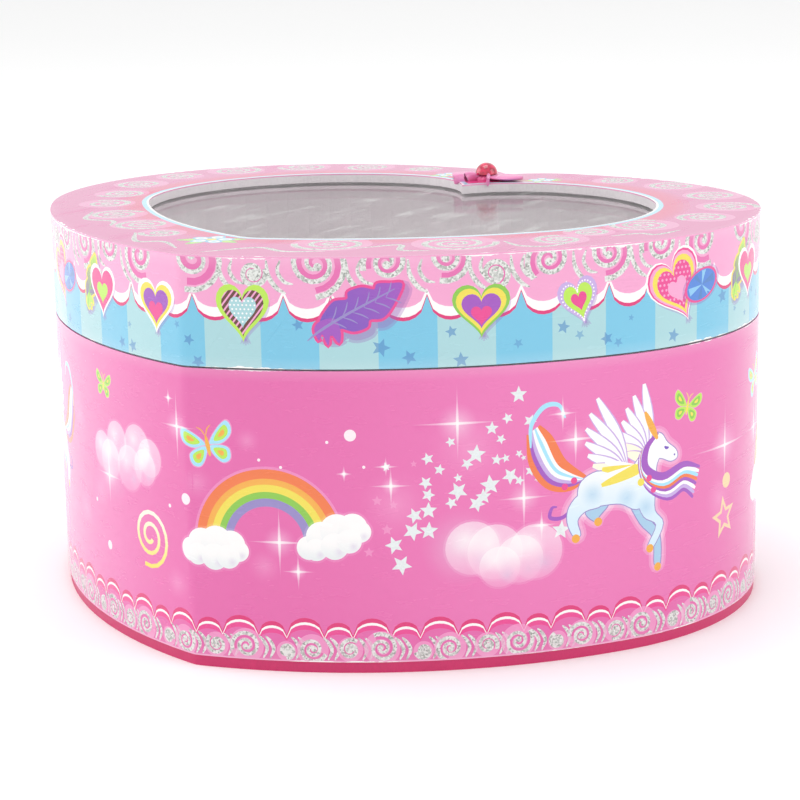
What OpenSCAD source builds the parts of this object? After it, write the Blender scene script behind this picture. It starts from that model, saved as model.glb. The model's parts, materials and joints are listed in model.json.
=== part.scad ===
/* [Box] */
// Greatest width of the heart
box_w = 180; // [170:1:240]
// Distance from the line of the lobe centres to the tip, in a box 180 wide
tip_reach = 89; // [84:1:120]
// Height of the body, base board included
body_h = 67.5; // [62:0.5:90]
// Height of the lid band, from the seam to the top sheet
lid_h = 24.1; // [20:0.1:40]
// Distance of each lobe centre from the middle line, in a box 180 wide
lobe_x = 27; // [24:1:32]
// Radius of the long curve along each flank, in a box 180 wide
flank_r = 125; // [118:1:180]
// Radius of the tip, in a box 180 wide
tip_r = 5; // [4.6:0.1:12]
// Radius of the curve from each hinge flat into the cleft, in a box 180 wide
crown_r = 23; // [22.2:0.2:32]
// Length of the straight back of each lobe, where a hinge sits
hinge_flat = 10; // [8:0.5:14]

/* [Boards] */
// Thickness of the base board
base_t = 2.5; // [1.5:0.1:4]
// Setback of the base board's edge from the body
base_inset = 0.3; // [0:0.1:1]
// Thickness of the printed paper on the walls
paper_t = 0.4; // [0.2:0.05:0.8]
// Thickness of the greyboard walls
wall_t = 2; // [1.2:0.1:3]
// Thickness of the card that lines the body
lining_t = 0.8; // [0.4:0.1:1.2]
// Thickness of the inner neck
neck_t = 1.2; // [0.8:0.1:1.8]
// Height of the neck above the body's rim
neck_rise = 3.5; // [1.5:0.5:6]
// Thickness of the paper inside the lid
lid_lining_t = 0.3; // [0.2:0.05:0.6]
// Gap of the seam between body and lid
seam = 0.4; // [0.2:0.1:1]
// Thickness of the lid's top board
lid_board_t = 2; // [1.2:0.1:3]
// Thickness of the printed sheet on the lid
sheet_t = 0.3; // [0.2:0.05:0.6]

/* [Window] */
// Width of the lid's rim beside the window
rim_side = 25; // [16:1:34]
// Width of the rim at the tip
rim_tip = 26; // [16:1:36]
// Width of the rim behind the window's lobes
rim_back = 19; // [12:1:28]
// Distance of each window lobe centre from the middle line, in a box 180 wide
win_lobe_x = 21; // [16:1:26]
// Radius of the window's flanks, in a box 180 wide
win_flank_r = 110; // [96:1:200]
// Radius of the window's tip, in a box 180 wide
win_tip_r = 10; // [6:1:16]
// Radius of the curves at the window's notch, in a box 180 wide
win_crown_r = 24; // [23:0.5:34]
// Thickness of the clear pane
pane_t = 1; // [0.6:0.1:2]
// How far the pane reaches under the board
pane_lap = 4; // [2:0.5:8]
// Thickness of the card frame that holds the pane
frame_t = 0.8; // [0.4:0.1:1.5]

/* [Interior] */
// Distance of the stage's spindle in front of the lobe centres
stage_reach = 30; // [26:1:36]
// Thickness of the partition and the divider
partition_t = 2; // [1:0.1:3]
// Place of the partition in front of the lobe centres
partition_reach = 4; // [2:0.5:6]
// Height of the divider between the two lobes
divider_h = 52; // [40:1:58]
// Thickness of the stage deck
deck_t = 2; // [1.5:0.1:3]
// Radius of the turntable
turntable_r = 21; // [16:1:24]
// Thickness of the turntable
turntable_t = 2.4; // [1.5:0.1:4]
// Number of rolls in the ring cushion
roll_count = 5; // [3:1:5]
// Radius of one roll
roll_r = 5; // [3:0.5:5]
// Length of the longest roll
roll_l = 33; // [20:1:36]
// Height of the shelf under the rolls
shelf_z = 36; // [20:1:42]

/* [Winding] */
// Inner radius of the key well in the base
well_r = 21; // [18:0.5:23]
// Depth of the key well
well_h = 12.5; // [10:0.5:15]
// Thickness of the board above the well
movement_board_t = 2.5; // [2:0.5:4]
// Reach of each wing of the key
key_reach = 16; // [12:0.5:17]
// Thickness of the key's wings
key_t = 1.6; // [1:0.1:2.5]
// Radius of the winding arbor
arbor_r = 1.6; // [1.2:0.1:2]

/* [Movement] */
// Thickness of the bedplate
bed_t = 2; // [1.5:0.1:3]
// Radius of the spring barrel's drum
drum_r = 12; // [9:0.5:12.5]
// Height of the spring barrel
drum_h = 11.5; // [9:0.5:13]
// Middle radius of the barrel's crown teeth
crown_mid_r = 14.7; // [14:0.1:16]
// Number of crown teeth
crown_n = 36; // [30:3:42]
// Number of teeth on the cylinder's pinion
pinion_n = 12; // [12:1:14]
// Radius of the pinned cylinder
cylinder_r = 6.2; // [5:0.1:6.6]
// Length of the pinned cylinder
cylinder_l = 20; // [16:1:22]
// Number of teeth on the comb
comb_n = 18; // [12:1:18]
// Number of teeth on the cylinder's wheel
wheel_n = 24; // [20:2:28]
// Number of teeth on the governor's pinion
small_n = 12; // [10:1:12]
// Tooth size of the wheel and the small pinion
spur_m = 0.45; // [0.4:0.01:0.5]
// Number of teeth on the worm wheel
worm_n = 16; // [14:1:18]
// Tooth size of the worm wheel
worm_m = 0.5; // [0.46:0.01:0.54]
// Reach of each fan blade
fan_r = 7; // [5:0.5:8]

/* [Hidden] */
$fn = 64;
cut = 1;
fit = 0.05;
slack = 0.2;

// Colours
print_pink = [0.93, 0.52, 0.74];
deep_pink = [0.80, 0.22, 0.45];
aqua = [0.62, 0.85, 0.94];
card_white = [0.95, 0.93, 0.94];
greyboard = [0.62, 0.58, 0.54];
lining_pink = [0.97, 0.80, 0.88];
steel = [0.75, 0.76, 0.78];
brass = [0.83, 0.68, 0.35];
crimson = [0.72, 0.05, 0.22];

// A heart outline is a list of lobe x, lobe radius, back flat, flank radius, tip reach, tip radius,
// crown radius and shift along y. Every arc keeps its centre when the outline is set in by d.
function flank_centre(o) =
    let (tip = [0, o[5] - o[4]],
         to_lobe = o[3] - o[1],
         to_tip = o[3] - o[5],
         gap = norm(tip - [o[0], 0]),
         u = (tip - [o[0], 0]) / gap,
         along = (to_lobe * to_lobe - to_tip * to_tip + gap * gap) / (2 * gap),
         off = sqrt(to_lobe * to_lobe - along * along))
    [o[0], 0] + along * u + off * [u[1], -u[0]];
function arc(c, r, a0, a1, n) =
    [for (i = [0 : n]) let (a = a0 + (a1 - a0) * i / n) c + r * [cos(a), sin(a)]];
function half_outline(o, d) =
    let (f = flank_centre(o),
         tip = [0, o[5] - o[4]],
         a_tip = atan2(tip[1] - f[1], tip[0] - f[0]),
         a_lobe = atan2(-f[1], o[0] - f[0]),
         crown = [o[0] - o[2], o[1] - o[6]],
         a_cleft = 180 - acos(crown[0] / (o[6] - d)))
    concat(arc(tip, o[5] - d, -90, a_tip, 4),
           arc(f, o[3] - d, a_tip, a_lobe, 14),
           arc([o[0], 0], o[1] - d, a_lobe, 90, 22),
           arc(crown, o[6] - d, 90, a_cleft, 6));
module heart(o, d) {
    half = half_outline(o, d);
    translate([0, o[7]])
        polygon(concat(half, [for (i = [len(half) - 1 : -1 : 0]) [-half[i][0], half[i][1]]]));
}

// The curves of both outlines grow with the width of the box
usual_w = 180;
wide = box_w / usual_w;
lobe_cx = lobe_x * wide;
reach = tip_reach * wide;
lobe_r = box_w / 2 - lobe_cx;
box_o = [lobe_cx, lobe_r, hinge_flat, flank_r * wide, reach, tip_r * wide, crown_r * wide, 0];
win_lobe_cx = win_lobe_x * wide;
win_lobe_r = box_w / 2 - rim_side - win_lobe_cx;
win_shift = lobe_r - rim_back - win_lobe_r;
win_o = [win_lobe_cx, win_lobe_r, 0, win_flank_r * wide, reach - rim_tip + win_shift,
    win_tip_r * wide, win_crown_r * wide, win_shift];

// Setbacks of the layers from the outside of the box
wall_d = paper_t;
lining_d = wall_d + wall_t;
neck_d = lining_d + lining_t;
room_d = neck_d + neck_t;
lid_room_d = lining_d + lid_lining_t;

// Heights
lid_z = body_h + seam;
sheet_z = body_h + lid_h + seam - sheet_t;
board_z = sheet_z - lid_board_t;
pane_z = board_z - pane_t;
frame_z = pane_z - frame_t;
top_z = sheet_z + sheet_t;
neck_z = body_h + neck_rise;
well_z = base_t + well_h;
bed_z = well_z + movement_board_t;
metal_z = bed_z + bed_t;
floor_t = 0.6;

// Hinges
hinge_x = lobe_cx - hinge_flat / 2;
leaf_w = hinge_flat - 1;
leaf_t = 0.7;
leaf_l = 11;
knuckle_r = 1.7;
hinge_pin_r = 0.75;
hinge_y = lobe_r + knuckle_r + fit;
hinge_z = body_h + seam / 2;
knuckle_w = leaf_w / 3;
rivet_r = 0.7;
rivet_zs = [3.6, 8.6];

// The plan is centred between the tip and the back of the hinges
plan_y = (reach - hinge_y - knuckle_r) / 2;

// Movement, measured from the spindle
stage_y = -stage_reach;
tooth_h = 1.4;
tooth_gap = 0.3;
flange_z = metal_z + 1;
flange_t = 1.5;
tooth_z = flange_z + flange_t;
crown_w = 2.6;
flange_r = crown_mid_r + crown_w / 2;
pinion_r = crown_mid_r * pinion_n / crown_n;
axis_z = tooth_z + (tooth_h + tooth_gap) / 2 + pinion_r;
drum_top = flange_z + drum_h;
plate_t = 1;
shaft_r = 0.8;
bracket_x = flange_r + 0.4;
cylinder_x = bracket_x + plate_t + 0.3;
train_x = cylinder_x + cylinder_l + 0.8;
wheel_x = train_x + plate_t + 0.4;
wheel_t = 1.5;
wheel_r = spur_m * wheel_n / 2;
small_r = spur_m * small_n / 2;
governor_y = -(wheel_r + small_r + 0.1);
worm_wheel_x = wheel_x + wheel_t + 0.9;
worm_wheel_t = 1.2;
worm_wheel_r = worm_m * worm_n / 2;
worm_core_r = 1.2;
worm_wave = 0.4;
worm_y = governor_y - worm_wheel_r - worm_core_r - 0.1;
worm_x = worm_wheel_x + worm_wheel_t / 2;
worm_turns = 4;
worm_lead = PI * worm_m;
worm_l = worm_turns * worm_lead;
far_x = worm_x + worm_core_r + worm_wave + 0.4;
arm_z = axis_z + worm_wheel_r + 0.9;
fan_z = arm_z + plate_t + 0.6;
fan_h = 4.6;
fan_t = 0.5;
bed_x0 = -flange_r - 2;
bed_x1 = far_x + plate_t + 6;
comb_y = cylinder_r + 0.55;
comb_t = 0.9;
comb_pitch = (cylinder_l - 1.6) / comb_n;
tooth_l = 4;
block_w = 6.5;
bed_y0 = worm_y - 4;
bed_y1 = comb_y + tooth_l + block_w + 1.5;

// Stage
deck_z = fan_z + fan_h + 2.6;
bush_flange_t = 0.6;
turntable_z = deck_z + deck_t + bush_flange_t + 0.4;
spindle_r = 1.5;
figure_z = turntable_z + turntable_t;
figure_h = frame_z - figure_z - 2.4;

// Stop rod and lever
rod_r = 1.5;
stop_arm = fan_r + 11.4;
rod_x = worm_x + stop_arm;
rod_y = worm_y;
// The rod and its lever swing back round the fan where the heart would be too narrow for the rod
rod_front = 44 * wide;
stop_swing = asin(max(0, stage_reach - worm_y - rod_front) / stop_arm);
rod_spot = [worm_x + stop_arm * cos(stop_swing), stage_y + worm_y + stop_arm * sin(stop_swing)];
lever_arm = 6;
pivot_x = rod_x - lever_arm;
lever_t = 1;
lever_z = fan_z - 0.3 - lever_t;
pivot_r = 0.8;
rod_bottom = lever_z + lever_t + 0.1;
rod_top = neck_z + 0.6;
guide_l = 4;
tab_h = 3.5;

module plan() translate([0, plan_y, 0]) children();
module at_stage() plan() translate([0, stage_y, 0]) children();
module at_stop()
    at_stage() translate([worm_x, worm_y, 0]) rotate([0, 0, stop_swing]) translate([-worm_x, -worm_y, 0])
        children();
module slab(o, d, z, h) translate([0, 0, z]) linear_extrude(h) heart(o, d);
module ring(d0, d1, z, h)
    translate([0, 0, z]) linear_extrude(h) difference() {
        heart(box_o, d0);
        heart(box_o, d1);
    }
module along_x(x, h, r) translate([x, 0, 0]) rotate([0, 90, 0]) cylinder(h = h, r = r);
module both_sides() {
    children();
    mirror([1, 0, 0]) children();
}
module gear(n, r, m, h, phase) {
    tip = r + 0.8 * m;
    root = r - 1.1 * m;
    step = 360 / n;
    linear_extrude(h)
        polygon([for (i = [0 : n - 1], p = [[root, -0.30], [tip, -0.13], [tip, 0.13], [root, 0.30]])
            let (a = phase + step * (i + p[1])) p[0] * [cos(a), sin(a)]]);
}
// A gear on an axle along x, its phase counted from y towards z
module gear_x(n, r, m, x, h, phase)
    translate([x, 0, 0]) rotate([90, 0, 90]) gear(n, r, m, h, phase);

// Fixed parts of the body
module base_board()
    color(deep_pink) plan() difference() {
        slab(box_o, base_inset, 0, base_t);
        translate([0, stage_y, -cut]) cylinder(h = base_t + 2 * cut, r = well_r);
    }

// Rivet holes of the body leaves (up = -1) or of the lid leaves (up = 1)
module rivet_holes(up)
    both_sides() for (z = rivet_zs)
        translate([hinge_x, lobe_r + cut, hinge_z + up * z]) rotate([90, 0, 0])
            cylinder(h = wall_d + wall_t + 2 * cut, r = rivet_r);

module body_wall()
    color(greyboard) plan() difference() {
        ring(wall_d, lining_d, base_t, body_h - base_t);
        rivet_holes(-1);
    }

module body_wrap()
    color(print_pink) plan() difference() {
        ring(0, wall_d, base_t, body_h - base_t);
        rivet_holes(-1);
    }

module body_lining()
    color(lining_pink) plan() ring(lining_d, neck_d, base_t, body_h - base_t);

module neck_ring()
    color(lining_pink) plan() ring(neck_d, room_d, base_t, neck_z - base_t);

module partition()
    color(lining_pink) plan() intersection() {
        slab(box_o, room_d, base_t, deck_z - base_t);
        translate([-box_w / 2, -partition_reach - partition_t, 0]) cube([box_w, partition_t, deck_z]);
    }

module lobe_divider()
    color(lining_pink) plan() intersection() {
        slab(box_o, room_d, base_t, divider_h - base_t);
        translate([-partition_t / 2, -partition_reach, 0]) cube([partition_t, lobe_r, divider_h]);
    }

// One lobe's room behind the partition, on the right side
module lobe_room(z, h)
    intersection() {
        slab(box_o, room_d, z, h);
        translate([partition_t / 2, -partition_reach, z]) cube([box_w, lobe_r + partition_reach, h]);
    }

module lobe_floors()
    color(lining_pink) plan() both_sides() lobe_room(base_t, floor_t);

module ring_shelf()
    color(card_white) plan() mirror([1, 0, 0]) lobe_room(shelf_z, partition_t);

// Greatest y of the lobe's room at the distance x from the middle
function room_y(x) = sqrt(pow(lobe_r - room_d, 2) - pow(max(0, x - lobe_cx), 2));

module ring_cushion()
    color(lining_pink) plan()
        for (i = [0 : roll_count - 1])
            let (x = partition_t / 2 + 3 + roll_r + i * (2 * roll_r + 1),
                 l = min(roll_l, room_y(x + roll_r) + partition_reach - 3))
                translate([-x, -partition_reach + 1.5, shelf_z + partition_t + roll_r])
                    rotate([-90, 0, 0]) cylinder(h = l, r = roll_r);

module stage_deck()
    color(card_white) plan() difference() {
        intersection() {
            slab(box_o, room_d, deck_z, deck_t);
            translate([-box_w / 2, -partition_reach - reach, deck_z]) cube([box_w, reach, deck_t]);
        }
        translate([0, stage_y, deck_z - cut]) cylinder(h = deck_t + 2 * cut, r = 2 * spindle_r);
        translate([rod_spot[0], rod_spot[1], deck_z - cut]) cylinder(h = deck_t + 2 * cut, r = rod_r + slack);
    }

module deck_bush()
    color(brass) at_stage() difference() {
        union() {
            translate([0, 0, deck_z]) cylinder(h = deck_t, r = 2 * spindle_r);
            translate([0, 0, deck_z + deck_t]) cylinder(h = bush_flange_t, r = 3 * spindle_r);
        }
        translate([0, 0, deck_z - cut]) cylinder(h = deck_t + bush_flange_t + 2 * cut, r = spindle_r + fit);
    }

module rod_guide()
    color(steel) at_stop() translate([rod_x, rod_y, deck_z - guide_l]) difference() {
        cylinder(h = guide_l, r = rod_r + 1.2);
        translate([0, 0, -cut]) cylinder(h = guide_l + 2 * cut, r = rod_r + fit);
    }

module key_well()
    color(card_white) at_stage() translate([0, 0, base_t]) difference() {
        cylinder(h = well_h, r = well_r + 1.5);
        translate([0, 0, -cut]) cylinder(h = well_h + 2 * cut, r = well_r);
    }

block_y = well_r + 3;
module movement_blocks()
    color([0.80, 0.66, 0.46]) at_stage() for (x = [bed_x0 + 2, bed_x1 - 8], y = [-block_y - 5, block_y - 5])
        translate([x, y < 0 ? max(y, bed_y0) : min(y, bed_y1 - 8), base_t])
            if (abs(x + 3) > well_r) cube([6, 8, well_h]);

screw_spots = [[bed_x0 + 3, bed_y1 - 3], [bed_x1 - 3, bed_y1 - 3], [bed_x1 - 3, bed_y0 + 3],
    [bed_x0 + 3, bed_y0 + 3]];
// Depth of the movement board, from its front edge to just before the partition
partition_clear = stage_reach - partition_reach - partition_t - 0.5 + max(3 - bed_y0, well_r + 1.5);
module movement_board()
    color([0.86, 0.74, 0.55]) plan() difference() {
        intersection() {
            slab(box_o, room_d, well_z, movement_board_t);
            translate([-well_r - 3, stage_y + min(bed_y0 - 3, -well_r - 1.5), well_z])
                cube([well_r + 3 + box_w / 2, partition_clear, movement_board_t]);
        }
        translate([0, stage_y, well_z - cut]) cylinder(h = movement_board_t + 2 * cut, r = 2 * arbor_r);
        for (p = screw_spots)
            translate([p[0], stage_y + p[1], well_z - cut]) cylinder(h = movement_board_t + 2 * cut, r = 1);
    }

module bedplate()
    color(steel) at_stage() difference() {
        translate([bed_x0, bed_y0, bed_z]) cube([bed_x1 - bed_x0, bed_y1 - bed_y0, bed_t]);
        translate([0, 0, bed_z - cut]) cylinder(h = bed_t + 2 * cut, r = arbor_r + fit);
        translate([worm_x, worm_y, bed_z - cut]) cylinder(h = bed_t + 2 * cut, r = shaft_r + fit);
        for (p = screw_spots)
            translate([p[0], p[1], bed_z - cut]) cylinder(h = bed_t + 2 * cut, r = 1 + slack);
    }

module slotted_screw(shank, r, head_r, head_h)
    difference() {
        union() {
            translate([0, 0, -shank]) cylinder(h = shank, r = r);
            cylinder(h = head_h, r = head_r);
        }
        translate([-head_r, -0.25, head_h / 2]) cube([2 * head_r, 0.5, head_h]);
    }

module movement_screws()
    color(steel) at_stage() for (p = screw_spots)
        translate([p[0], p[1], metal_z]) slotted_screw(bed_t + movement_board_t - 0.5, 1, 1.9, 1.1);

// An upright plate with a round top round an axle at height axis_z
module axle_post(x, y, r)
    translate([x, 0, 0]) union() {
        translate([0, y - r, metal_z]) cube([plate_t, 2 * r, axis_z - metal_z]);
        translate([0, y, axis_z]) rotate([0, 90, 0]) cylinder(h = plate_t, r = r);
    }
module axle_hole(x, y)
    translate([x - cut, y, axis_z]) rotate([0, 90, 0]) cylinder(h = plate_t + 2 * cut, r = shaft_r + fit);

module cylinder_bracket()
    color(steel) at_stage() difference() {
        axle_post(bracket_x, 0, 3);
        axle_hole(bracket_x, 0);
    }

module train_bracket()
    color(steel) at_stage() difference() {
        union() {
            axle_post(train_x, 0, 3);
            axle_post(train_x, governor_y, 2.4);
            translate([train_x, governor_y, metal_z]) cube([plate_t, -governor_y, 4]);
        }
        axle_hole(train_x, 0);
        axle_hole(train_x, governor_y);
    }

comb_x = cylinder_x + 0.8;
comb_l = comb_n * comb_pitch;
comb_back = comb_y + tooth_l;
comb_screw_xs = [comb_x + comb_l * 0.22, comb_x + comb_l * 0.78];
module comb_block()
    color(steel) at_stage() difference() {
        translate([comb_x, comb_back, metal_z]) cube([comb_l, block_w, axis_z - comb_t / 2 - metal_z]);
        for (x = comb_screw_xs)
            translate([x, comb_back + block_w / 2, axis_z - comb_t / 2 - 4]) cylinder(h = 5, r = 0.9);
    }

module comb()
    color([0.82, 0.82, 0.80]) at_stage() difference() {
        translate([comb_x, comb_y, axis_z - comb_t / 2]) cube([comb_l, tooth_l + block_w, comb_t]);
        for (i = [0 : comb_n])
            translate([comb_x + i * comb_pitch - 0.15, comb_y - cut, axis_z - comb_t])
                cube([0.3, tooth_l + cut, 2 * comb_t]);
        for (x = comb_screw_xs)
            translate([x, comb_back + block_w / 2, axis_z - comb_t])
                cylinder(h = 2 * comb_t, r = 0.9 + slack);
    }

module comb_screws()
    color(brass) at_stage() for (x = comb_screw_xs)
        translate([x, comb_back + block_w / 2, axis_z + comb_t / 2]) slotted_screw(comb_t + 3.5, 0.9, 1.9, 1);

// Far bearing of the worm wheel, with an arm over the worm
module governor_frame()
    color(steel) at_stage() difference() {
        union() {
            translate([far_x, worm_y - 2.4, metal_z])
                cube([plate_t, governor_y - worm_y + 4.8, arm_z + plate_t - metal_z]);
            translate([worm_x - 2.4, worm_y - 2.4, arm_z]) cube([far_x - worm_x + 2.4, 4.8, plate_t]);
        }
        axle_hole(far_x, governor_y);
        translate([worm_x, worm_y, arm_z - cut]) cylinder(h = plate_t + 2 * cut, r = shaft_r + fit);
    }

lever_w = 2;
module lever_bracket()
    color(steel) at_stop() difference() {
        union() {
            for (y = [-lever_w / 2 - slack - plate_t, lever_w / 2 + slack])
                translate([pivot_x - 2, rod_y + y, bed_z + plate_t])
                    cube([4, plate_t, lever_z + lever_t + 1 - bed_z - plate_t]);
            translate([pivot_x - 2, rod_y - lever_w / 2 - slack - plate_t, bed_z])
                cube([4, lever_w + 2 * (slack + plate_t), plate_t]);
        }
        translate([pivot_x, rod_y - lever_w - 3, lever_z + lever_t / 2]) rotate([-90, 0, 0])
            cylinder(h = 2 * lever_w + 6, r = pivot_r);
    }

module lever_pin()
    color(brass) at_stop() translate([pivot_x, rod_y - lever_w / 2 - slack - plate_t, lever_z + lever_t / 2])
        rotate([-90, 0, 0]) cylinder(h = lever_w + 2 * (slack + plate_t), r = pivot_r);

// Hinges: the body leaf holds the middle knuckle and the pin, the lid leaf the outer two
module hinge_leaf(up, xs)
    plan() both_sides() translate([hinge_x, 0, hinge_z]) difference() {
        union() {
            translate([-leaf_w / 2, lobe_r, up > 0 ? knuckle_r + slack : -leaf_l - knuckle_r])
                cube([leaf_w, leaf_t, leaf_l - slack]);
            for (x = xs) {
                translate([x + fit, lobe_r, up > 0 ? 0 : -knuckle_r - slack - fit])
                    cube([knuckle_w - 2 * fit, knuckle_r + fit, knuckle_r + slack + fit]);
                translate([x + fit, hinge_y, 0]) rotate([0, 90, 0])
                    cylinder(h = knuckle_w - 2 * fit, r = knuckle_r);
            }
        }
        translate([-leaf_w / 2 - cut, hinge_y, 0]) rotate([0, 90, 0])
            cylinder(h = leaf_w + 2 * cut, r = up > 0 ? hinge_pin_r + fit : hinge_pin_r);
        for (z = rivet_zs)
            translate([0, lobe_r - cut, up * z]) rotate([-90, 0, 0])
                cylinder(h = leaf_t + 2 * cut, r = rivet_r);
    }

module rivets(up)
    plan() both_sides() for (z = rivet_zs)
        translate([hinge_x, lobe_r, hinge_z + up * z]) rotate([-90, 0, 0]) {
            translate([0, 0, -wall_d - wall_t]) cylinder(h = wall_d + wall_t + leaf_t, r = rivet_r);
            translate([0, 0, leaf_t]) cylinder(h = 0.5, r = 1.8 * rivet_r);
        }

module hinge_leaves_body() color(brass) hinge_leaf(-1, [-knuckle_w / 2]);
module hinge_leaves_lid() color(brass) hinge_leaf(1, [-1.5 * knuckle_w, 0.5 * knuckle_w]);
module hinge_rivets_body() color(steel) rivets(-1);
module hinge_rivets_lid() color(steel) rivets(1);
module hinge_pins()
    color(steel) plan() both_sides() translate([hinge_x, hinge_y, hinge_z])
        along_x(-leaf_w / 2, leaf_w, hinge_pin_r);

// Lid
module lid_wall()
    color(greyboard) plan() difference() {
        ring(wall_d, lining_d, lid_z, board_z - lid_z);
        rivet_holes(1);
    }

module lid_wrap()
    color(aqua) plan() difference() {
        ring(0, wall_d, lid_z, sheet_z - lid_z);
        rivet_holes(1);
    }

module window_hole(lap, z, h) slab(win_o, -lap, z - cut, h + 2 * cut);

module lid_board()
    color(greyboard) plan() difference() {
        slab(box_o, wall_d, board_z, lid_board_t);
        window_hole(0, board_z, lid_board_t);
    }

module lid_sheet()
    color(print_pink) plan() difference() {
        slab(box_o, 0, sheet_z, sheet_t);
        window_hole(0, sheet_z, sheet_t);
    }

module lid_lining()
    color(card_white) plan() ring(lining_d, lid_room_d, lid_z, board_z - lid_z);

module lid_ceiling()
    color(card_white) plan() difference() {
        slab(box_o, lid_room_d, pane_z, pane_t);
        window_hole(pane_lap, pane_z, pane_t);
    }

module window_pane()
    color([0.85, 0.92, 0.92, 0.4]) plan() slab(win_o, -pane_lap, pane_z, pane_t);

module window_frame()
    color(card_white) plan() difference() {
        slab(win_o, -2 * pane_lap, frame_z, frame_t);
        window_hole(0, frame_z, frame_t);
    }

module press_tab()
    color(card_white) plan() intersection() {
        slab(box_o, lid_room_d, rod_top + slack, tab_h);
        translate([rod_spot[0] - 2 * rod_r, rod_spot[1] - 2 * rod_r, rod_top])
            cube([box_w, 4 * rod_r, 2 * tab_h]);
    }

// Bow at the window's notch
bow_y = (win_shift + win_lobe_r + lobe_r) / 2 - 9;
bow_t = 1.6;
loop_r = 4.2;
loop_x = 6.6;
tail_l = 6.5;
gem_r = 2.9;
module bow_loops()
    color([0.95, 0.45, 0.68]) plan() translate([0, bow_y, top_z]) linear_extrude(bow_t) difference() {
        both_sides() {
            translate([loop_x, 0.6]) circle(r = loop_r);
            polygon([[2, -1.6], [loop_x, 0.6 - loop_r], [loop_x, 0.6 + loop_r], [2, 1.6]]);
            polygon([[1.2, -2], [4.2, -2 - tail_l], [6.2, -0.6 - tail_l], [2.6, -1.2]]);
        }
        circle(r = gem_r + 0.4);
    }

module bow_knot()
    color([0.90, 0.30, 0.55]) plan() translate([0, bow_y, top_z]) cylinder(h = bow_t, r = gem_r + 0.4);

module gem()
    color(crimson) plan() translate([0, bow_y, top_z + bow_t]) difference() {
        sphere(r = gem_r);
        translate([0, 0, -gem_r]) cube([3 * gem_r, 3 * gem_r, 2 * gem_r], center = true);
    }

// Turning stage
module spring_barrel()
    color(brass) at_stage() difference() {
        union() {
            translate([0, 0, flange_z]) cylinder(h = drum_h, r = drum_r);
            translate([0, 0, flange_z]) cylinder(h = flange_t, r = flange_r);
            for (i = [0 : crown_n - 1])
                rotate([0, 0, (i + 0.5) * 360 / crown_n])
                    translate([crown_mid_r - crown_w / 2, -0.5, tooth_z - 0.3])
                        cube([crown_w, 1, tooth_h + 0.3]);
        }
        translate([0, 0, flange_z - cut]) cylinder(h = drum_h + cut - 3, r = arbor_r + fit);
        translate([0, 0, tooth_z]) cylinder(h = drum_h - flange_t - 3, r = drum_r - 1.2);
    }

spring_turns = 5;
spring_r0 = arbor_r + 2;
spring_r1 = drum_r - 1.6;
spring_t = 0.35;
module mainspring()
    color([0.35, 0.40, 0.48]) at_stage() translate([0, 0, tooth_z + 0.5])
        linear_extrude(drum_h - flange_t - 4.2)
        let (n = spring_turns * 20,
             spiral = function (i, r) (spring_r0 + (spring_r1 - spring_r0) * i / n + r)
                 * [cos(360 * spring_turns * i / n), sin(360 * spring_turns * i / n)])
            polygon(concat([for (i = [0 : n]) spiral(i, 0)], [for (i = [n : -1 : 0]) spiral(i, spring_t)]));

module spindle()
    color(steel) at_stage() translate([0, 0, drum_top])
        cylinder(h = turntable_z + turntable_t / 2 - drum_top, r = spindle_r);

module turntable()
    color([0.98, 0.90, 0.94]) at_stage() difference() {
        translate([0, 0, turntable_z]) cylinder(h = turntable_t, r = turntable_r);
        translate([0, 0, turntable_z - cut]) cylinder(h = turntable_t / 2 + cut, r = spindle_r);
    }

// A bar with round ends between two points
module limb(a, b, r) {
    v = b - a;
    l = norm(v);
    translate(a) rotate([0, acos(v[2] / l), atan2(v[1], v[0])]) cylinder(h = l, r = r);
    translate(a) sphere(r = r);
    translate(b) sphere(r = r);
}

// Winged unicorn in lengths of its own height, facing -x
figure_half = turntable_r - 2;
figure_k = min(figure_h, 2 * figure_half);
module figurine()
    color([0.98, 0.72, 0.82]) at_stage() translate([0, 0, figure_z]) scale(figure_k) {
        limb([-0.13, 0, 0.44], [0.14, 0, 0.46], 0.115);
        limb([-0.17, 0, 0.50], [-0.27, 0, 0.72], 0.065);
        limb([-0.28, 0, 0.73], [-0.38, 0, 0.66], 0.055);
        translate([-0.31, 0, 0.76]) rotate([0, -20, 0]) cylinder(h = 0.22, r1 = 0.022, r2 = 0.006);
        for (y = [-0.06, 0.06]) {
            limb([-0.16, y, 0.40], [-0.18, y, 0.036], 0.036);
            limb([0.16, y, 0.42], [0.20, y, 0.036], 0.036);
        }
        limb([0.24, 0, 0.50], [0.36, 0, 0.22], 0.045);
        both_wings() limb([-0.02, 0.10, 0.55], [0.20, 0.24, 0.86], 0.035);
    }
module both_wings() {
    children();
    mirror([0, 1, 0]) children();
}

// Winding
hub_r = 3;
key_hub_h = 5;
key_z = 1.4;
module winding_arbor()
    color(steel) at_stage() union() {
        translate([0, 0, well_z - key_hub_h]) cylinder(h = drum_top - 3.6 - well_z + key_hub_h, r = arbor_r);
        translate([0, 0, tooth_z + 0.5]) cylinder(h = drum_h - flange_t - 4.2, r = arbor_r + 1);
    }

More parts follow.
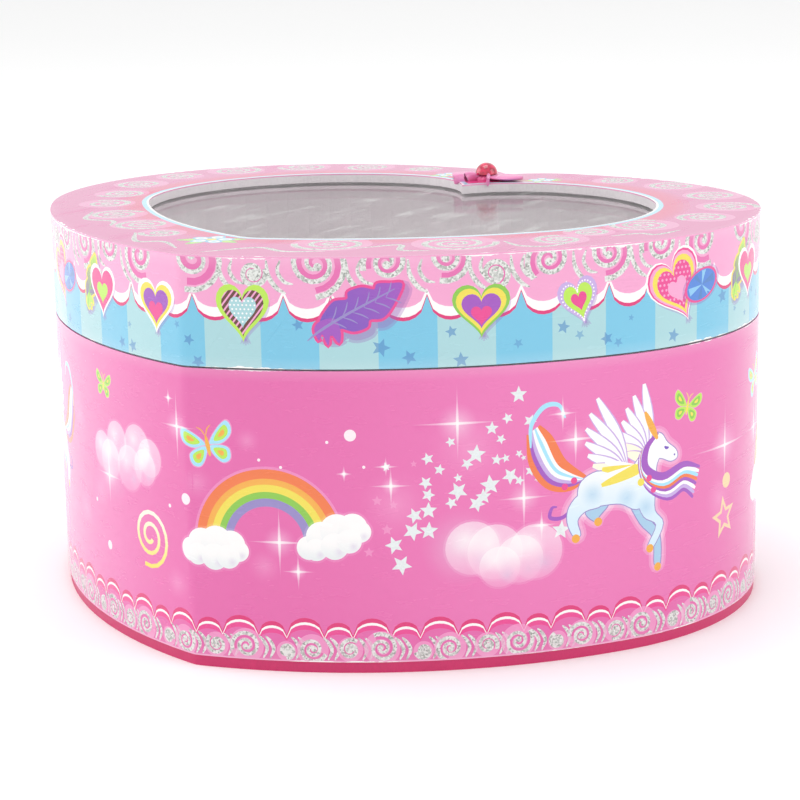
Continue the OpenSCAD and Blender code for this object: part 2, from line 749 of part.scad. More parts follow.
wing_z = (key_z + well_z - key_hub_h) / 2 + 1.2;
wing_r = (well_z - key_hub_h - key_z) / 2 + 1;
module winding_key()
    color(brass) at_stage() difference() {
        union() {
            translate([0, 0, well_z - key_hub_h - 2]) cylinder(h = key_hub_h, r = hub_r);
            both_sides() {
                translate([key_reach - wing_r, key_t / 2, key_z + wing_r]) rotate([90, 0, 0])
                    cylinder(h = key_t, r = wing_r);
                translate([0, -key_t / 2, wing_z]) cube([key_reach - wing_r, key_t, wing_r]);
            }
        }
        translate([0, 0, well_z - key_hub_h]) cylinder(h = key_hub_h, r = arbor_r);
        both_sides()
            translate([key_reach - wing_r, key_t, key_z + wing_r]) rotate([90, 0, 0])
                cylinder(h = 2 * key_t, r = wing_r / 2);
    }

// Pinned cylinder and its train
module at_axis() at_stage() translate([0, 0, axis_z]) children();

module cylinder_shaft()
    color(steel) at_axis() union() {
        along_x(crown_mid_r - 1.3, wheel_x + wheel_t - crown_mid_r + 1.3, shaft_r);
        gear_x(pinion_n, pinion_r, 0.75, crown_mid_r - 1.1, 2.2, -90);
    }

module pinned_cylinder()
    color(brass) at_axis() difference() {
        along_x(cylinder_x, cylinder_l, cylinder_r);
        along_x(cylinder_x - cut, cylinder_l + 2 * cut, shaft_r);
    }

module cylinder_wheel()
    color(brass) at_axis() difference() {
        gear_x(wheel_n, wheel_r, spur_m, wheel_x, wheel_t, wheel_n % 2 == 0 ? 0 : 180 / wheel_n);
        along_x(wheel_x - cut, wheel_t + 2 * cut, shaft_r);
    }

module governor_wheel()
    color(brass) at_axis() translate([0, governor_y, 0]) union() {
        along_x(train_x, far_x + plate_t - train_x, shaft_r);
        gear_x(small_n, small_r, spur_m, wheel_x, wheel_t, 180 / small_n);
        gear_x(worm_n, worm_wheel_r, 0.31, worm_wheel_x, worm_wheel_t, worm_n % 2 == 0 ? 0 : 180 / worm_n);
    }

module governor_worm()
    color(steel) at_axis() translate([worm_x, worm_y, -worm_l / 2])
        linear_extrude(worm_l, twist = -360 * worm_turns, slices = 12 * worm_turns, $fn = 14)
            translate([0, -worm_wave]) circle(r = worm_core_r, $fn = 14);

worm_z = axis_z - worm_l / 2;
module fan_shaft()
    color(steel) at_stage() translate([worm_x, worm_y, 0]) {
        translate([0, 0, bed_z + 0.3]) cylinder(h = worm_z - bed_z - 0.3, r = shaft_r);
        translate([0, 0, worm_z + worm_l]) cylinder(h = fan_z + fan_h - worm_z - worm_l, r = shaft_r);
    }

module governor_fan()
    color([0.85, 0.86, 0.88]) at_stage() translate([worm_x, worm_y, fan_z]) difference() {
        union() {
            cylinder(h = fan_h, r = 2 * shaft_r);
            translate([-fan_t / 2, -fan_r, 0]) cube([fan_t, 2 * fan_r, fan_h]);
        }
        translate([0, 0, -cut]) cylinder(h = fan_h + 2 * cut, r = shaft_r);
    }

// Stop rod, pressed down by the lid, and the lever that brakes the fan
module stop_rod()
    color(steel) at_stop() translate([rod_x, rod_y, rod_bottom])
        cylinder(h = rod_top - rod_bottom, r = rod_r);

finger_x = worm_x + fan_r - 2;
module stop_lever()
    color(brass) at_stop() difference() {
        union() {
            translate([finger_x, rod_y - lever_w / 2, lever_z])
                cube([rod_x + rod_r - finger_x, lever_w, lever_t]);
            translate([pivot_x, rod_y - lever_w / 2, lever_z + lever_t / 2]) rotate([-90, 0, 0])
                cylinder(h = lever_w, r = 2 * pivot_r);
        }
        translate([pivot_x, rod_y - lever_w, lever_z + lever_t / 2]) rotate([-90, 0, 0])
            cylinder(h = 2 * lever_w, r = pivot_r + fit);
    }

base_board();
body_wall();
body_wrap();
body_lining();
neck_ring();
partition();
lobe_divider();
lobe_floors();
ring_shelf();
ring_cushion();
stage_deck();
deck_bush();
rod_guide();
key_well();
movement_blocks();
movement_board();
bedplate();
movement_screws();
cylinder_bracket();
train_bracket();
comb_block();
comb();
comb_screws();
governor_frame();
lever_bracket();
lever_pin();
hinge_leaves_body();
hinge_pins();
hinge_rivets_body();
lid_wall();
lid_wrap();
lid_board();
lid_sheet();
lid_lining();
lid_ceiling();
window_pane();
window_frame();
press_tab();
bow_loops();
bow_knot();
gem();
hinge_leaves_lid();
hinge_rivets_lid();
spring_barrel();
mainspring();
spindle();
turntable();
figurine();
winding_arbor();
winding_key();
pinned_cylinder();
cylinder_shaft();
cylinder_wheel();
governor_wheel();
governor_worm();
fan_shaft();
governor_fan();
stop_rod();
stop_lever();
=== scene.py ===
"""Heart-shaped musical jewellery box: printed papers, ornaments, stage and fittings round the CAD frame."""

import json
import logging
import math
from collections.abc import Callable, Sequence
from dataclasses import dataclass, field
from enum import Enum

import bmesh
import bpy
import numpy as np
from mathutils import Matrix, Vector
from mathutils.geometry import delaunay_2d_cdt


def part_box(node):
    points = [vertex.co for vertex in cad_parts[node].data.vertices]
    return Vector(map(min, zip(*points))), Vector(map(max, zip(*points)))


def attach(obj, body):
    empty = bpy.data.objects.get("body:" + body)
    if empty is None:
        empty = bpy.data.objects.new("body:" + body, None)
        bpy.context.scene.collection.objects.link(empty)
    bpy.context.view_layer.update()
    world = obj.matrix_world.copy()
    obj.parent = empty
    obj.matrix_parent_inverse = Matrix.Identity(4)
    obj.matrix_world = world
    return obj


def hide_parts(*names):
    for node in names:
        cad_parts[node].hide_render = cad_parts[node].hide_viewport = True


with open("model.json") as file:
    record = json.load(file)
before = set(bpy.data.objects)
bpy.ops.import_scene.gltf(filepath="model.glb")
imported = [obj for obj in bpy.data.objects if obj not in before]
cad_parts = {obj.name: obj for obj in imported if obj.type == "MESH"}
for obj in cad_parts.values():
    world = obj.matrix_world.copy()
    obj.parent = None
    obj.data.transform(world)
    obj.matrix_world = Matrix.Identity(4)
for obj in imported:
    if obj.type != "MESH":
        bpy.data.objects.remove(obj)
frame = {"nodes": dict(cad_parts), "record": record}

log = logging.getLogger("jewellery_box")
MM = 0.001
BAKE_MAP = "OFBake"
SEED = 7

# Distances along an outline that differ by less than this are the same
ON_END = 1e-6

# Keeps a division clear of zero
TINY = 1e-12

# Points closer than this become one, and smaller triangles are dropped
MERGE_MM = 1e-4
LEAST_AREA = 1e-7

# Distance from an edge at which nothing is worn, in millimetres
UNWORN_MM = 9.0

Points = np.ndarray
Skin = tuple[list[tuple[float, ...]], list[tuple[int, ...]]]
Paint = Callable[[Points], np.ndarray]


class Ink(Enum):
    """Printing inks, plastics and papers, as display colours."""

    PINK = "E478B4"
    ROSE = "DC62A6"
    BLUSH = "EBA0C8"
    RIM_PINK = "D0549A"
    HOT_PINK = "E23C8C"
    MAGENTA = "D62470"
    DEEP_PINK = "CC2C68"
    WINE = "B0285F"
    WHITE = "F4F4F2"
    CLOUD = "DDE6E6"
    MIST = "C9BCD6"
    SILVER = "C4CCC6"
    AQUA = "6FBFDC"
    PALE_AQUA = "A2CFD4"
    SKY = "9EDCF0"
    STAR_BLUE = "3A78B4"
    GEM_BLUE = "3E7FD2"
    SHADOW = "8A5AA8"
    PURPLE = "9A4CB8"
    VIOLET = "6A4BB5"
    LILAC = "BFA6DC"
    RAINBOW_BLUE = "8E84BE"
    GREEN = "82C341"
    LIME = "B4E24A"
    YELLOW = "E9D84A"
    AMBER = "EBA93C"
    ORANGE = "E8743A"
    BROWN = "5A3220"
    GOLD = "EBD2A0"
    HORN = "E9A634"
    SKIN = "CFE6F2"
    SKIN_SHADE = "9FC6E0"
    FIGURE_PINK = "F07FB0"
    CREAM = "FBF1D8"

    @property
    def display(self) -> np.ndarray:
        """The colour as three display values from 0 to 1."""
        return np.array([int(self.value[i : i + 2], 16) / 255 for i in (0, 2, 4)])

    @property
    def linear(self) -> tuple[float, float, float, float]:
        """The colour as a linear colour with full alpha, as a shader takes it."""
        return (*to_linear(self.display).tolist(), 1.0)


def to_linear(display: np.ndarray) -> np.ndarray:
    """Turns display values into linear light.

    Args:
        display: Values from 0 to 1, in any shape.

    Returns:
        The linear values, in the same shape.
    """
    return np.where(display <= 0.04045, display / 12.92, ((display + 0.055) / 1.055) ** 2.4)


# ---------------------------------------------------------------- heart outline


@dataclass(frozen=True)
class HeartOutline:
    """A heart made of arcs that keep their centres when it is set in. Sizes are in millimetres.

    Distances along it count from the tip, positive up the right side.
    """

    lobe_x: float
    lobe_r: float
    back_flat: float
    flank_r: float
    tip_reach: float
    tip_r: float
    crown_r: float
    shift: float = 0.0

    @property
    def flank_centre(self) -> tuple[float, float]:
        """Centre of the right flank's long arc."""
        lobe = np.array([self.lobe_x, 0.0])
        tip = np.array([0.0, self.tip_r - self.tip_reach])
        gap = float(np.linalg.norm(tip - lobe))
        unit = (tip - lobe) / gap
        to_lobe, to_tip = self.flank_r - self.lobe_r, self.flank_r - self.tip_r
        along = (to_lobe**2 - to_tip**2 + gap**2) / (2 * gap)
        off = math.sqrt(to_lobe**2 - along**2)
        centre = lobe + along * unit + off * np.array([unit[1], -unit[0]])
        return float(centre[0]), float(centre[1])

    def arcs(self, inset: float = 0.0) -> list[tuple[float, ...]]:
        """The right half's arcs, from the tip to the cleft.

        Args:
            inset: How far the outline is set in.

        Returns:
            For each arc its centre, outside radius, first and last angle, and its outside length.
        """
        flank_x, flank_y = self.flank_centre
        tip_y = self.tip_r - self.tip_reach
        at_tip = math.atan2(tip_y - flank_y, -flank_x)
        at_lobe = math.atan2(-flank_y, self.lobe_x - flank_x)
        crown_x = self.lobe_x - self.back_flat
        cleft = math.pi - math.acos(crown_x / self.crown_r)
        set_in_cleft = math.pi - math.acos(crown_x / (self.crown_r - inset))
        quarter = math.pi / 2
        return [
            (0.0, tip_y, self.tip_r, -quarter, at_tip, self.tip_r * (at_tip + quarter)),
            (flank_x, flank_y, self.flank_r, at_tip, at_lobe, self.flank_r * (at_lobe - at_tip)),
            (self.lobe_x, 0.0, self.lobe_r, at_lobe, quarter, self.lobe_r * (quarter - at_lobe)),
            (self.lobe_x, 0.0, self.lobe_r, quarter, quarter, self.back_flat),
            (crown_x, self.lobe_r - self.crown_r, self.crown_r, quarter, set_in_cleft,
             self.crown_r * (cleft - quarter)),
        ]

    @property
    def half_length(self) -> float:
        """Distance from the tip to the cleft along the outside."""
        return sum(arc[5] for arc in self.arcs())

    @property
    def tip_arc(self) -> float:
        """Distance from the tip to the end of its small arc."""
        return self.arcs()[0][5]

    def place(self, along: Points, inset: float = 0.0) -> Points:
        """Points of the outline.

        Args:
            along: Distances from the tip.
            inset: How far the outline is set in.

        Returns:
            An array of x and y for each distance.
        """
        side, distance = np.where(along < 0, -1.0, 1.0), np.abs(along)
        x, y, start = np.zeros(len(along)), np.zeros(len(along)), 0.0
        for cx, cy, radius, first, last, length in self.arcs(inset):
            here = distance >= start - ON_END
            share = np.clip((distance - start) / max(length, ON_END), 0, 1)
            angle = first + share * (last - first)
            slide = share * length if first == last else 0.0
            x = np.where(here, cx + (radius - inset) * np.cos(angle) - slide, x)
            y = np.where(here, cy + (radius - inset) * np.sin(angle), y)
            start += length
        return np.stack([side * x, y + self.shift], axis=1)

    def loop(self, step: float, inset: float = 0.0) -> Points:
        """The closed outline, anticlockwise from the cleft.

        Args:
            step: Greatest distance between two points.
            inset: How far the outline is set in.

        Returns:
            An array of x and y.
        """
        half = self.half_length
        side = np.linspace(0, half, math.ceil(half / step) + 1)
        side = np.unique(np.append(side, self.tip_arc).round(5))
        along = np.concatenate([-side[::-1], side[1:-1]])
        return self.place(along, inset)


# The box's own sizes, in millimetres
BOX = HeartOutline(lobe_x=27, lobe_r=63, back_flat=10, flank_r=125, tip_reach=89, tip_r=5, crown_r=23)
WINDOW = HeartOutline(lobe_x=21, lobe_r=44, back_flat=0, flank_r=110, tip_reach=63, tip_r=10, crown_r=24)
PAPER = 0.4


def plan_shift() -> float:
    """How far the heart's own middle line stands behind the frame's, in millimetres."""
    low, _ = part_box("body_wrap")
    return low.y / MM + BOX.tip_reach


def in_frame(points: Points, height: np.ndarray | float) -> Points:
    """Puts plan points of the heart into the frame, in metres.

    Args:
        points: x and y in the heart's own millimetres.
        height: Height of each point or of all, in millimetres.

    Returns:
        An array of x, y and z in metres.
    """
    z = np.broadcast_to(np.asarray(height, float), len(points))
    return np.stack([points[:, 0], points[:, 1] + plan_shift(), z], axis=1) * MM


# ---------------------------------------------------------------- flat shapes


def around(count: int) -> np.ndarray:
    """Angles of evenly spaced points round a circle."""
    return np.arange(count) * 2 * math.pi / count


def circle(radius: float, count: int = 24) -> Points:
    """A circle round the origin, as an array of x and y."""
    angle = around(count)
    return radius * np.stack([np.cos(angle), np.sin(angle)], axis=1)


def star(radius: float, arms: int = 5, waist: float = 0.45) -> Points:
    """A star round the origin.

    Args:
        radius: Reach of each arm.
        arms: Number of arms.
        waist: Radius between two arms, as a share of the reach.

    Returns:
        An array of x and y.
    """
    angle = math.pi / 2 + np.arange(2 * arms) * math.pi / arms
    reach = np.where(np.arange(2 * arms) % 2 == 0, radius, radius * waist)
    return np.stack([reach * np.cos(angle), reach * np.sin(angle)], axis=1)


def heart(width: float, height: float, count: int = 36) -> Points:
    """A plump heart round the origin.

    Args:
        width: Its width.
        height: Its height.
        count: Number of points.

    Returns:
        An array of x and y, anticlockwise.
    """
    t = math.pi - around(count)
    x = -np.sin(t) ** 3
    y = (13 * np.cos(t) - 5 * np.cos(2 * t) - 2 * np.cos(3 * t) - np.cos(4 * t) + 2.5) / 14.5
    return np.stack([x * width / 2, y * height / 2], axis=1)


def curve(points: Sequence[tuple[float, float]], steps: int = 5, closed: bool = False) -> Points:
    """A smooth line through points.

    Args:
        points: The points it passes.
        steps: Number of short lines between two of them.
        closed: Whether it runs back to its start.

    Returns:
        An array of x and y, or of as many columns as the points have.
    """
    p = np.array(points, float)
    if closed:
        p = np.vstack([p[-1], p, p[0], p[1]])
    else:
        p = np.vstack([2 * p[0] - p[1], p, 2 * p[-1] - p[-2]])
    out = []
    for i in range(1, len(p) - 2):
        a, b, c, d = p[i - 1 : i + 3]
        for t in np.arange(steps) / steps:
            out.append(0.5 * (2 * b + (c - a) * t + (2 * a - 5 * b + 4 * c - d) * t**2
                              + (3 * b - a - 3 * c + d) * t**3))
    if not closed:
        out.append(p[-2])
    return np.array(out)


def sides(line: Points) -> Points:
    """Unit vectors that point to the left of an open line."""
    ahead = np.gradient(line, axis=0)
    ahead /= np.linalg.norm(ahead, axis=1)[:, None] + TINY
    return np.stack([-ahead[:, 1], ahead[:, 0]], axis=1)


def ribbon(line: Points, width: np.ndarray | float) -> Points:
    """The outline of a stroke along a line.

    Args:
        line: Its middle line.
        width: Its width, for all or for each point.

    Returns:
        An array of x and y.
    """
    half = np.broadcast_to(np.asarray(width, float), len(line))[:, None] / 2
    left = sides(line)
    return np.vstack([line - left * half, (line + left * half)[::-1]])


def swell(outline: Points, amount: float) -> Points:
    """Moves a closed anticlockwise outline out by an amount, or in by a negative one."""
    ahead = np.roll(outline, -1, axis=0) - np.roll(outline, 1, axis=0)
    ahead /= np.linalg.norm(ahead, axis=1)[:, None] + TINY
    return outline + amount * np.stack([ahead[:, 1], -ahead[:, 0]], axis=1)


def spiral(radius: float, core: float, turns: float, hand: int = 1, start: float = 0.0) -> Points:
    """A spiral line from its outer end to its core, round the origin.

    Args:
        radius: Radius of its outer end.
        core: Radius of its inner end.
        turns: Number of turns.
        hand: 1 anticlockwise or -1 clockwise.
        start: Angle of its outer end, in degrees.

    Returns:
        An array of x and y.
    """
    t = np.linspace(0, 1, math.ceil(turns * 18))
    angle = math.radians(start) + hand * turns * 2 * math.pi * t
    reach = radius + (core - radius) * t**0.85
    return np.stack([reach * np.cos(angle), reach * np.sin(angle)], axis=1)


def within_shape(points: Points, outline: Points) -> np.ndarray:
    """Tells which points lie inside a closed outline.

    Args:
        points: The points to test.
        outline: The outline.

    Returns:
        An array of booleans.
    """
    low, high = outline.min(0), outline.max(0)
    near = np.all((points >= low) & (points <= high), axis=1)
    x, y = points[near, 0], points[near, 1]
    hit = np.zeros(len(x), bool)
    for (x0, y0), (x1, y1) in zip(outline, np.roll(outline, -1, axis=0)):
        if y0 != y1:
            hit ^= ((y0 > y) != (y1 > y)) & (x < (x1 - x0) * (y - y0) / (y1 - y0) + x0)
    near[near] = hit
    return near


@dataclass(frozen=True)
class Spot:
    """Where a motif stands: its middle, its scale, its turn in degrees and whether it is mirrored."""

    x: float
    y: float
    scale: float = 1.0
    turn: float = 0.0
    mirror: bool = False

    def put(self, points: Points | Sequence[tuple[float, float]]) -> Points:
        """Moves a shape from its own place to this spot."""
        p = np.array(points, float) * self.scale
        if self.mirror:
            p = p[::-1] * np.array([-1, 1])
        c, s = math.cos(math.radians(self.turn)), math.sin(math.radians(self.turn))
        return p @ np.array([[c, s], [-s, c]]) + np.array([self.x, self.y])

    def at(self, x: float, y: float) -> tuple[float, float]:
        """Moves one point from its own place to this spot."""
        return tuple(self.put([(x, y)])[0])


# ---------------------------------------------------------------- artwork


def flat(ink: Ink, alpha: float = 1.0) -> Paint:
    """A paint of one colour."""
    return lambda p: np.broadcast_to(np.array([*ink.display, alpha]), (len(p), 4))


def fade(first: Ink, last: Ink, start: tuple[float, float], end: tuple[float, float],
         alpha: float = 1.0) -> Paint:
    """A paint that turns from one colour into another.

    Args:
        first: The colour at the start.
        last: The colour at the end.
        start: Point where the change starts.
        end: Point where it ends.
        alpha: How much it covers.

    Returns:
        The paint.
    """
    a, way = np.array(start), np.array(end) - np.array(start)

    def paint(p: Points) -> np.ndarray:
        """Colours points by how far along they lie."""
        share = np.clip((p - a) @ way / (way @ way), 0, 1)[:, None]
        colour = first.display * (1 - share) + last.display * share
        return np.hstack([colour, np.full((len(p), 1), alpha)])

    return paint


def glow(ink: Ink, centre: tuple[float, float], reach: float, strength: float) -> Paint:
    """A paint that fades out round a centre."""
    middle = np.array(centre)

    def paint(p: Points) -> np.ndarray:
        """Colours points by their distance from the centre."""
        share = np.clip(1 - np.linalg.norm(p - middle, axis=1) / reach, 0, 1)
        return np.hstack([np.tile(ink.display, (len(p), 1)), (strength * share**1.3)[:, None]])

    return paint


@dataclass
class Layer:
    """One printed shape: its outline, its paint, how much it is foil, and what it keeps within."""

    outline: Points
    paint: Paint
    foil: float = 0.0
    within: Points | None = None
    inner: Points | None = None


@dataclass
class Artwork:
    """Flat artwork in millimetres, printed layer by layer on a ground."""

    ground: Paint
    layers: list[Layer] = field(default_factory=list)

    def add(self, outline: Points, paint: Paint, foil: float = 0.0, within: Points | None = None,
            inner: Points | None = None) -> None:
        """Prints one shape over what is there."""
        self.layers.append(Layer(outline, paint, foil, within, inner))

    def disc(self, x: float, y: float, radius: float, ink: Ink, alpha: float = 1.0) -> None:
        """Prints a dot."""
        count = 10 if radius < 0.7 else 20
        self.add(circle(radius, count) + (x, y), flat(ink, alpha))

    def haze(self, x: float, y: float, radius: float, ink: Ink, strength: float) -> None:
        """Prints a soft round glow."""
        inner = np.vstack([circle(radius * share, 14) for share in (0.3, 0.55, 0.8)] + [np.zeros((1, 2))])
        self.add(circle(radius) + (x, y), glow(ink, (x, y), radius, strength), inner=inner + (x, y))

    def sparkle(self, x: float, y: float, across: float, up: float, strength: float = 0.9) -> None:
        """Prints a four-armed glint with a soft glow.

        Args:
            x: Its place along the sheet.
            y: Its height.
            across: Reach of its level arms.
            up: Reach of its upright arms.
            strength: How white it is.
        """
        self.haze(x, y, 0.42 * max(across, up), Ink.WHITE, 0.6 * strength)
        thin = 0.32
        for reach, turn in ((across, 0), (up, 90)):
            arm = Spot(x, y, turn=turn).put([(-reach, 0), (0, -thin), (reach, 0), (0, thin)])
            self.add(arm, glow(Ink.WHITE, (x, y), reach, strength), inner=np.array([[x, y]]))

    def stroke(self, line: Points, width: np.ndarray | float, paint: Paint, foil: float = 0.0,
               within: Points | None = None) -> None:
        """Prints a line of some width."""
        self.add(ribbon(line, width), paint, foil, within)

    def taper(self, points: Sequence[tuple[float, float]], width: float, paint: Paint,
              spot: Spot | None = None,
              foil: float = 0.0) -> None:
        """Prints a lock or curl that is pointed at both ends.

        Args:
            points: Points of its middle line.
            width: Its greatest width.
            paint: Its paint.
            spot: Where it stands, for points in a motif's own place.
            foil: How much it is foil.
        """
        line = curve(points, 5)
        t = np.linspace(0, 1, len(line))
        profile = width * (0.12 + 0.88 * np.sin(math.pi * np.clip(t * 0.92 + 0.04, 0, 1)) ** 0.7)
        if spot:
            line, profile = spot.put(line), profile * spot.scale
        self.add(ribbon(line, profile), paint, foil)

    def blob(self, points: Sequence[tuple[float, float]], spot: Spot, paint: Paint, edge: Ink | None = None,
             edge_width: float = 0.25) -> None:
        """Prints a smooth closed shape, with a line round it if an edge colour is given."""
        outline = spot.put(curve(points, 4, closed=True))
        if edge:
            self.add(swell(outline, edge_width), flat(edge))
        self.add(outline, paint)

    def swirl(self, x: float, y: float, radius: float, turns: float = 2.0, hand: int = 1, start: float = 0.0,
              width: float = 0.95, ghost: float = 0.6) -> None:
        """Prints a glitter spiral with a darker line beside it.

        Args:
            x: Its place along the sheet.
            y: Its height.
            radius: Radius of its outer end.
            turns: Number of turns.
            hand: 1 anticlockwise or -1 clockwise.
            start: Angle of its outer end, in degrees.
            width: Width of the foil.
            ghost: How dark the line beside it is.
        """
        core = 0.12 * radius
        pitch = (radius - core) / max(turns, 0.1)
        self.add(circle(radius + 0.5 * width, 32) + (x, y), flat(Ink.BLUSH, 0.75 * ghost))
        shade = spiral(radius - 0.5 * pitch, 0.5 * core, turns, hand, start)
        self.stroke(shade + (x, y), 0.42 * pitch, flat(Ink.ROSE, ghost))
        line = spiral(radius, core, turns, hand, start)
        t = np.linspace(0, 1, len(line))
        self.stroke(line + (x, y), width * (1.05 - 0.35 * t), flat(Ink.SILVER), foil=1.0)
        self.add(circle(0.75 * width, 12) + line[-1] + (x, y), flat(Ink.SILVER), foil=1.0)

    def star(self, x: float, y: float, radius: float, ink: Ink, alpha: float = 1.0, turn: float = 0.0,
             foil: float = 0.0) -> None:
        """Prints a five-armed star."""
        self.add(Spot(x, y, turn=turn).put(star(radius)), flat(ink, alpha), foil)

    def cloud(self, x: float, y: float, puffs: Sequence[tuple[float, float, float]],
              alpha: float = 1.0) -> None:
        """Prints a cloud of round puffs, white above and misty below.

        Args:
            x: Its middle along the sheet.
            y: Its height.
            puffs: For each puff its place from the middle and its radius.
            alpha: How much it covers.
        """
        for dx, dy, radius in puffs:
            self.add(circle(radius + 0.5, 28) + (x + dx, y + dy), flat(Ink.WHITE, 0.14 * alpha))
        low = min(y + dy - radius for _, dy, radius in puffs)
        for dx, dy, radius in puffs:
            spot = (x + dx, y + dy)
            foot = Ink.CLOUD if alpha == 1 else Ink.BLUSH
            body = fade(foot, Ink.WHITE, (x, low), (x, spot[1] + 0.5 * radius),
                        1.0 if alpha == 1 else 0.6 * alpha)
            self.add(circle(radius, 28) + spot, body)
            self.haze(spot[0] - 0.25 * radius, spot[1] + 0.3 * radius, 0.7 * radius, Ink.WHITE, 0.75 * alpha)
            self.haze(spot[0] + 0.35 * radius, spot[1] - 0.45 * radius, 0.5 * radius, Ink.MIST, 0.5 * alpha)

    def rainbow(self, x: float, y: float, radius: float) -> None:
        """Prints a rainbow of five bands.

        Args:
            x: Its middle along the sheet.
            y: Height of its feet.
            radius: Its outer radius.
        """
        angle = np.radians(np.linspace(-4, 184, 44))
        arch = np.stack([np.cos(angle), np.sin(angle)], axis=1)
        edge = radius
        self.stroke(arch * (radius - 2) + (x, y), 5.2, flat(Ink.BLUSH, 0.55))
        for ink, share in ((Ink.ORANGE, 0.13), (Ink.AMBER, 0.08), (Ink.YELLOW, 0.10), (Ink.GREEN, 0.09),
                           (Ink.RAINBOW_BLUE, 0.11)):
            width = share * radius
            self.stroke(arch * (edge - width / 2) + (x, y), width + 0.02, flat(ink))
            edge -= width

    def butterfly(self, spot: Spot, edge: Ink, fill: Ink, heart_ink: Ink) -> None:
        """Prints a butterfly.

        Args:
            spot: Where it stands. Its own span is 12.
            edge: Colour of the wings' rims.
            fill: Colour within the rims.
            heart_ink: Colour of the marks and the body.
        """
        upper = [(0.5, 0.3), (2.4, 2.9), (5.2, 4.8), (6.2, 3.4), (5.6, 1.4), (3.2, 0.0)]
        lower = [(0.4, -0.2), (2.8, -0.3), (4.7, -1.4), (4.4, -3.7), (2.6, -4.2), (1.0, -2.4)]
        for side in (1, -1):
            for wing in (upper, lower):
                own = [(side * px, py) for px, py in (wing if side > 0 else wing[::-1])]
                outline = spot.put(curve(own, 4, closed=True))
                if spot.mirror:
                    outline = outline[::-1]
                middle = outline.mean(0)
                self.add(middle + 1.12 * (outline - middle), flat(Ink.BLUSH, 0.7))
                self.add(outline, flat(edge))
                self.add(middle + 0.66 * (outline - middle), flat(fill))
                self.add(middle + 0.30 * (outline - middle), flat(heart_ink))
        self.taper([(0, 2.2), (0, 0), (0, -2.4)], 1.0, flat(heart_ink), spot)
        for side in (1, -1):
            self.taper([(0, 2.0), (side * 0.7, 3.6), (side * 1.7, 4.4)], 0.3, flat(heart_ink), spot)

    def scallops(self, low: float, high: float, bands: Sequence[tuple[float, Ink]], cusps: Points, sag: float,
                 up: bool) -> None:
        """Prints nested scalloped bands along a border.

        Args:
            low: Height of the border's plain edge.
            high: Height of the cusps.
            bands: For each band how far it is set back towards the plain edge, and its ink.
            cusps: Places of the cusps.
            sag: How far each arc bows away from the cusps.
            up: Whether the arcs bow upwards.
        """
        sign = 1 if up else -1
        for back, ink in bands:
            line = []
            for left, right in zip(cusps[:-1], cusps[1:]):
                t = np.linspace(0, 1, 9)[:-1]
                bow = np.sqrt(np.clip(1 - (2 * t - 1) ** 2, 0, 1))
                depth = sag * (right - left) / 8.0
                line += [(left + (right - left) * a,
                          high + sign * depth * b - sign * back * (0.55 + 0.45 * b))
                         for a, b in zip(t, bow)]
            line.append((cusps[-1], high - sign * back * 0.55))
            top = np.array(line)
            self.add(np.vstack([top, [[cusps[-1], low], [cusps[0], low]]]), flat(ink))

    def heart_badge(self, spot: Spot, width: float, height: float,
                    rings: Sequence[tuple[float, Ink]]) -> Points:
        """Prints nested hearts with a soft drop shadow.

        Args:
            spot: Where it stands.
            width: Width of the outermost heart.
            height: Height of the outermost heart.
            rings: For each heart how far it is set in, and its ink.

        Returns:
            The outline of the innermost heart.
        """
        own = heart(width, height)
        for grown in (1.3, 0.8, 0.3):
            self.add(Spot(spot.x + 0.5, spot.y - 0.9, turn=spot.turn).put(swell(own, grown)),
                     flat(Ink.SHADOW, 0.28))
        outline = own
        for inset, ink in rings:
            share = np.array([1 - 2 * inset / width, 1 - 2 * inset / height])
            outline = spot.put(own * share)
            self.add(outline, flat(ink))
        return outline

    def feather(self, spot: Spot, fill: Ink, quill: Ink, edge: Ink) -> None:
        """Prints a feather whose own length is 22, its tip to the right.

        Args:
            spot: Where it stands.
            fill: Colour of the vane.
            quill: Colour of the quill and the barbs.
            edge: Colour of the line round it.
        """
        vane = [(-9.5, -0.6), (-7.4, -2.6), (-5.6, -2.9), (-4.6, -2.2), (-2.4, -3.9), (0.6, -4.2),
                (1.8, -3.0),
                (4.4, -3.8), (7.2, -2.6), (11.4, 1.0), (9.2, 2.4), (6.6, 3.5), (5.4, 2.7), (3.2, 4.2),
                (0.2, 4.5),
                (-0.8, 3.2), (-3.6, 3.9), (-6.4, 2.6), (-8.2, 1.2)]
        down = [(-10, 0.2), (-10.2, -2.6), (-8.9, -1.6), (-8.8, -4.4), (-7.2, -2.4), (-6.4, -4.9),
                (-5.0, -2.6)]
        outline = spot.put(curve(vane, 5, closed=True))
        fluff = spot.put(curve([*down, (-5, 0.4), (-8, 1.2)], 4, closed=True))
        shadow = np.array([0.6, -1.0])
        for grown in (1.5, 0.9):
            self.add(swell(outline, grown) + shadow, flat(Ink.SHADOW, 0.3))
        for shape in (outline, fluff):
            self.add(swell(shape, 0.6), flat(edge))
        self.add(outline, fade(fill, Ink.VIOLET, spot.at(10, 3), spot.at(-9, -3)))
        self.add(fluff, flat(fill))
        self.taper([(-12.5, -1.6), (-9, -0.7), (-2, 0.2), (9.5, 0.9)], 0.6, flat(quill), spot)
        for i in range(6):
            root = -6 + 2.6 * i
            for side in (1, -1):
                self.taper([(root, 0), (root + 1.5, side * 1.3), (root + 2.5, side * 2.6)], 0.3, flat(quill),
                           spot)

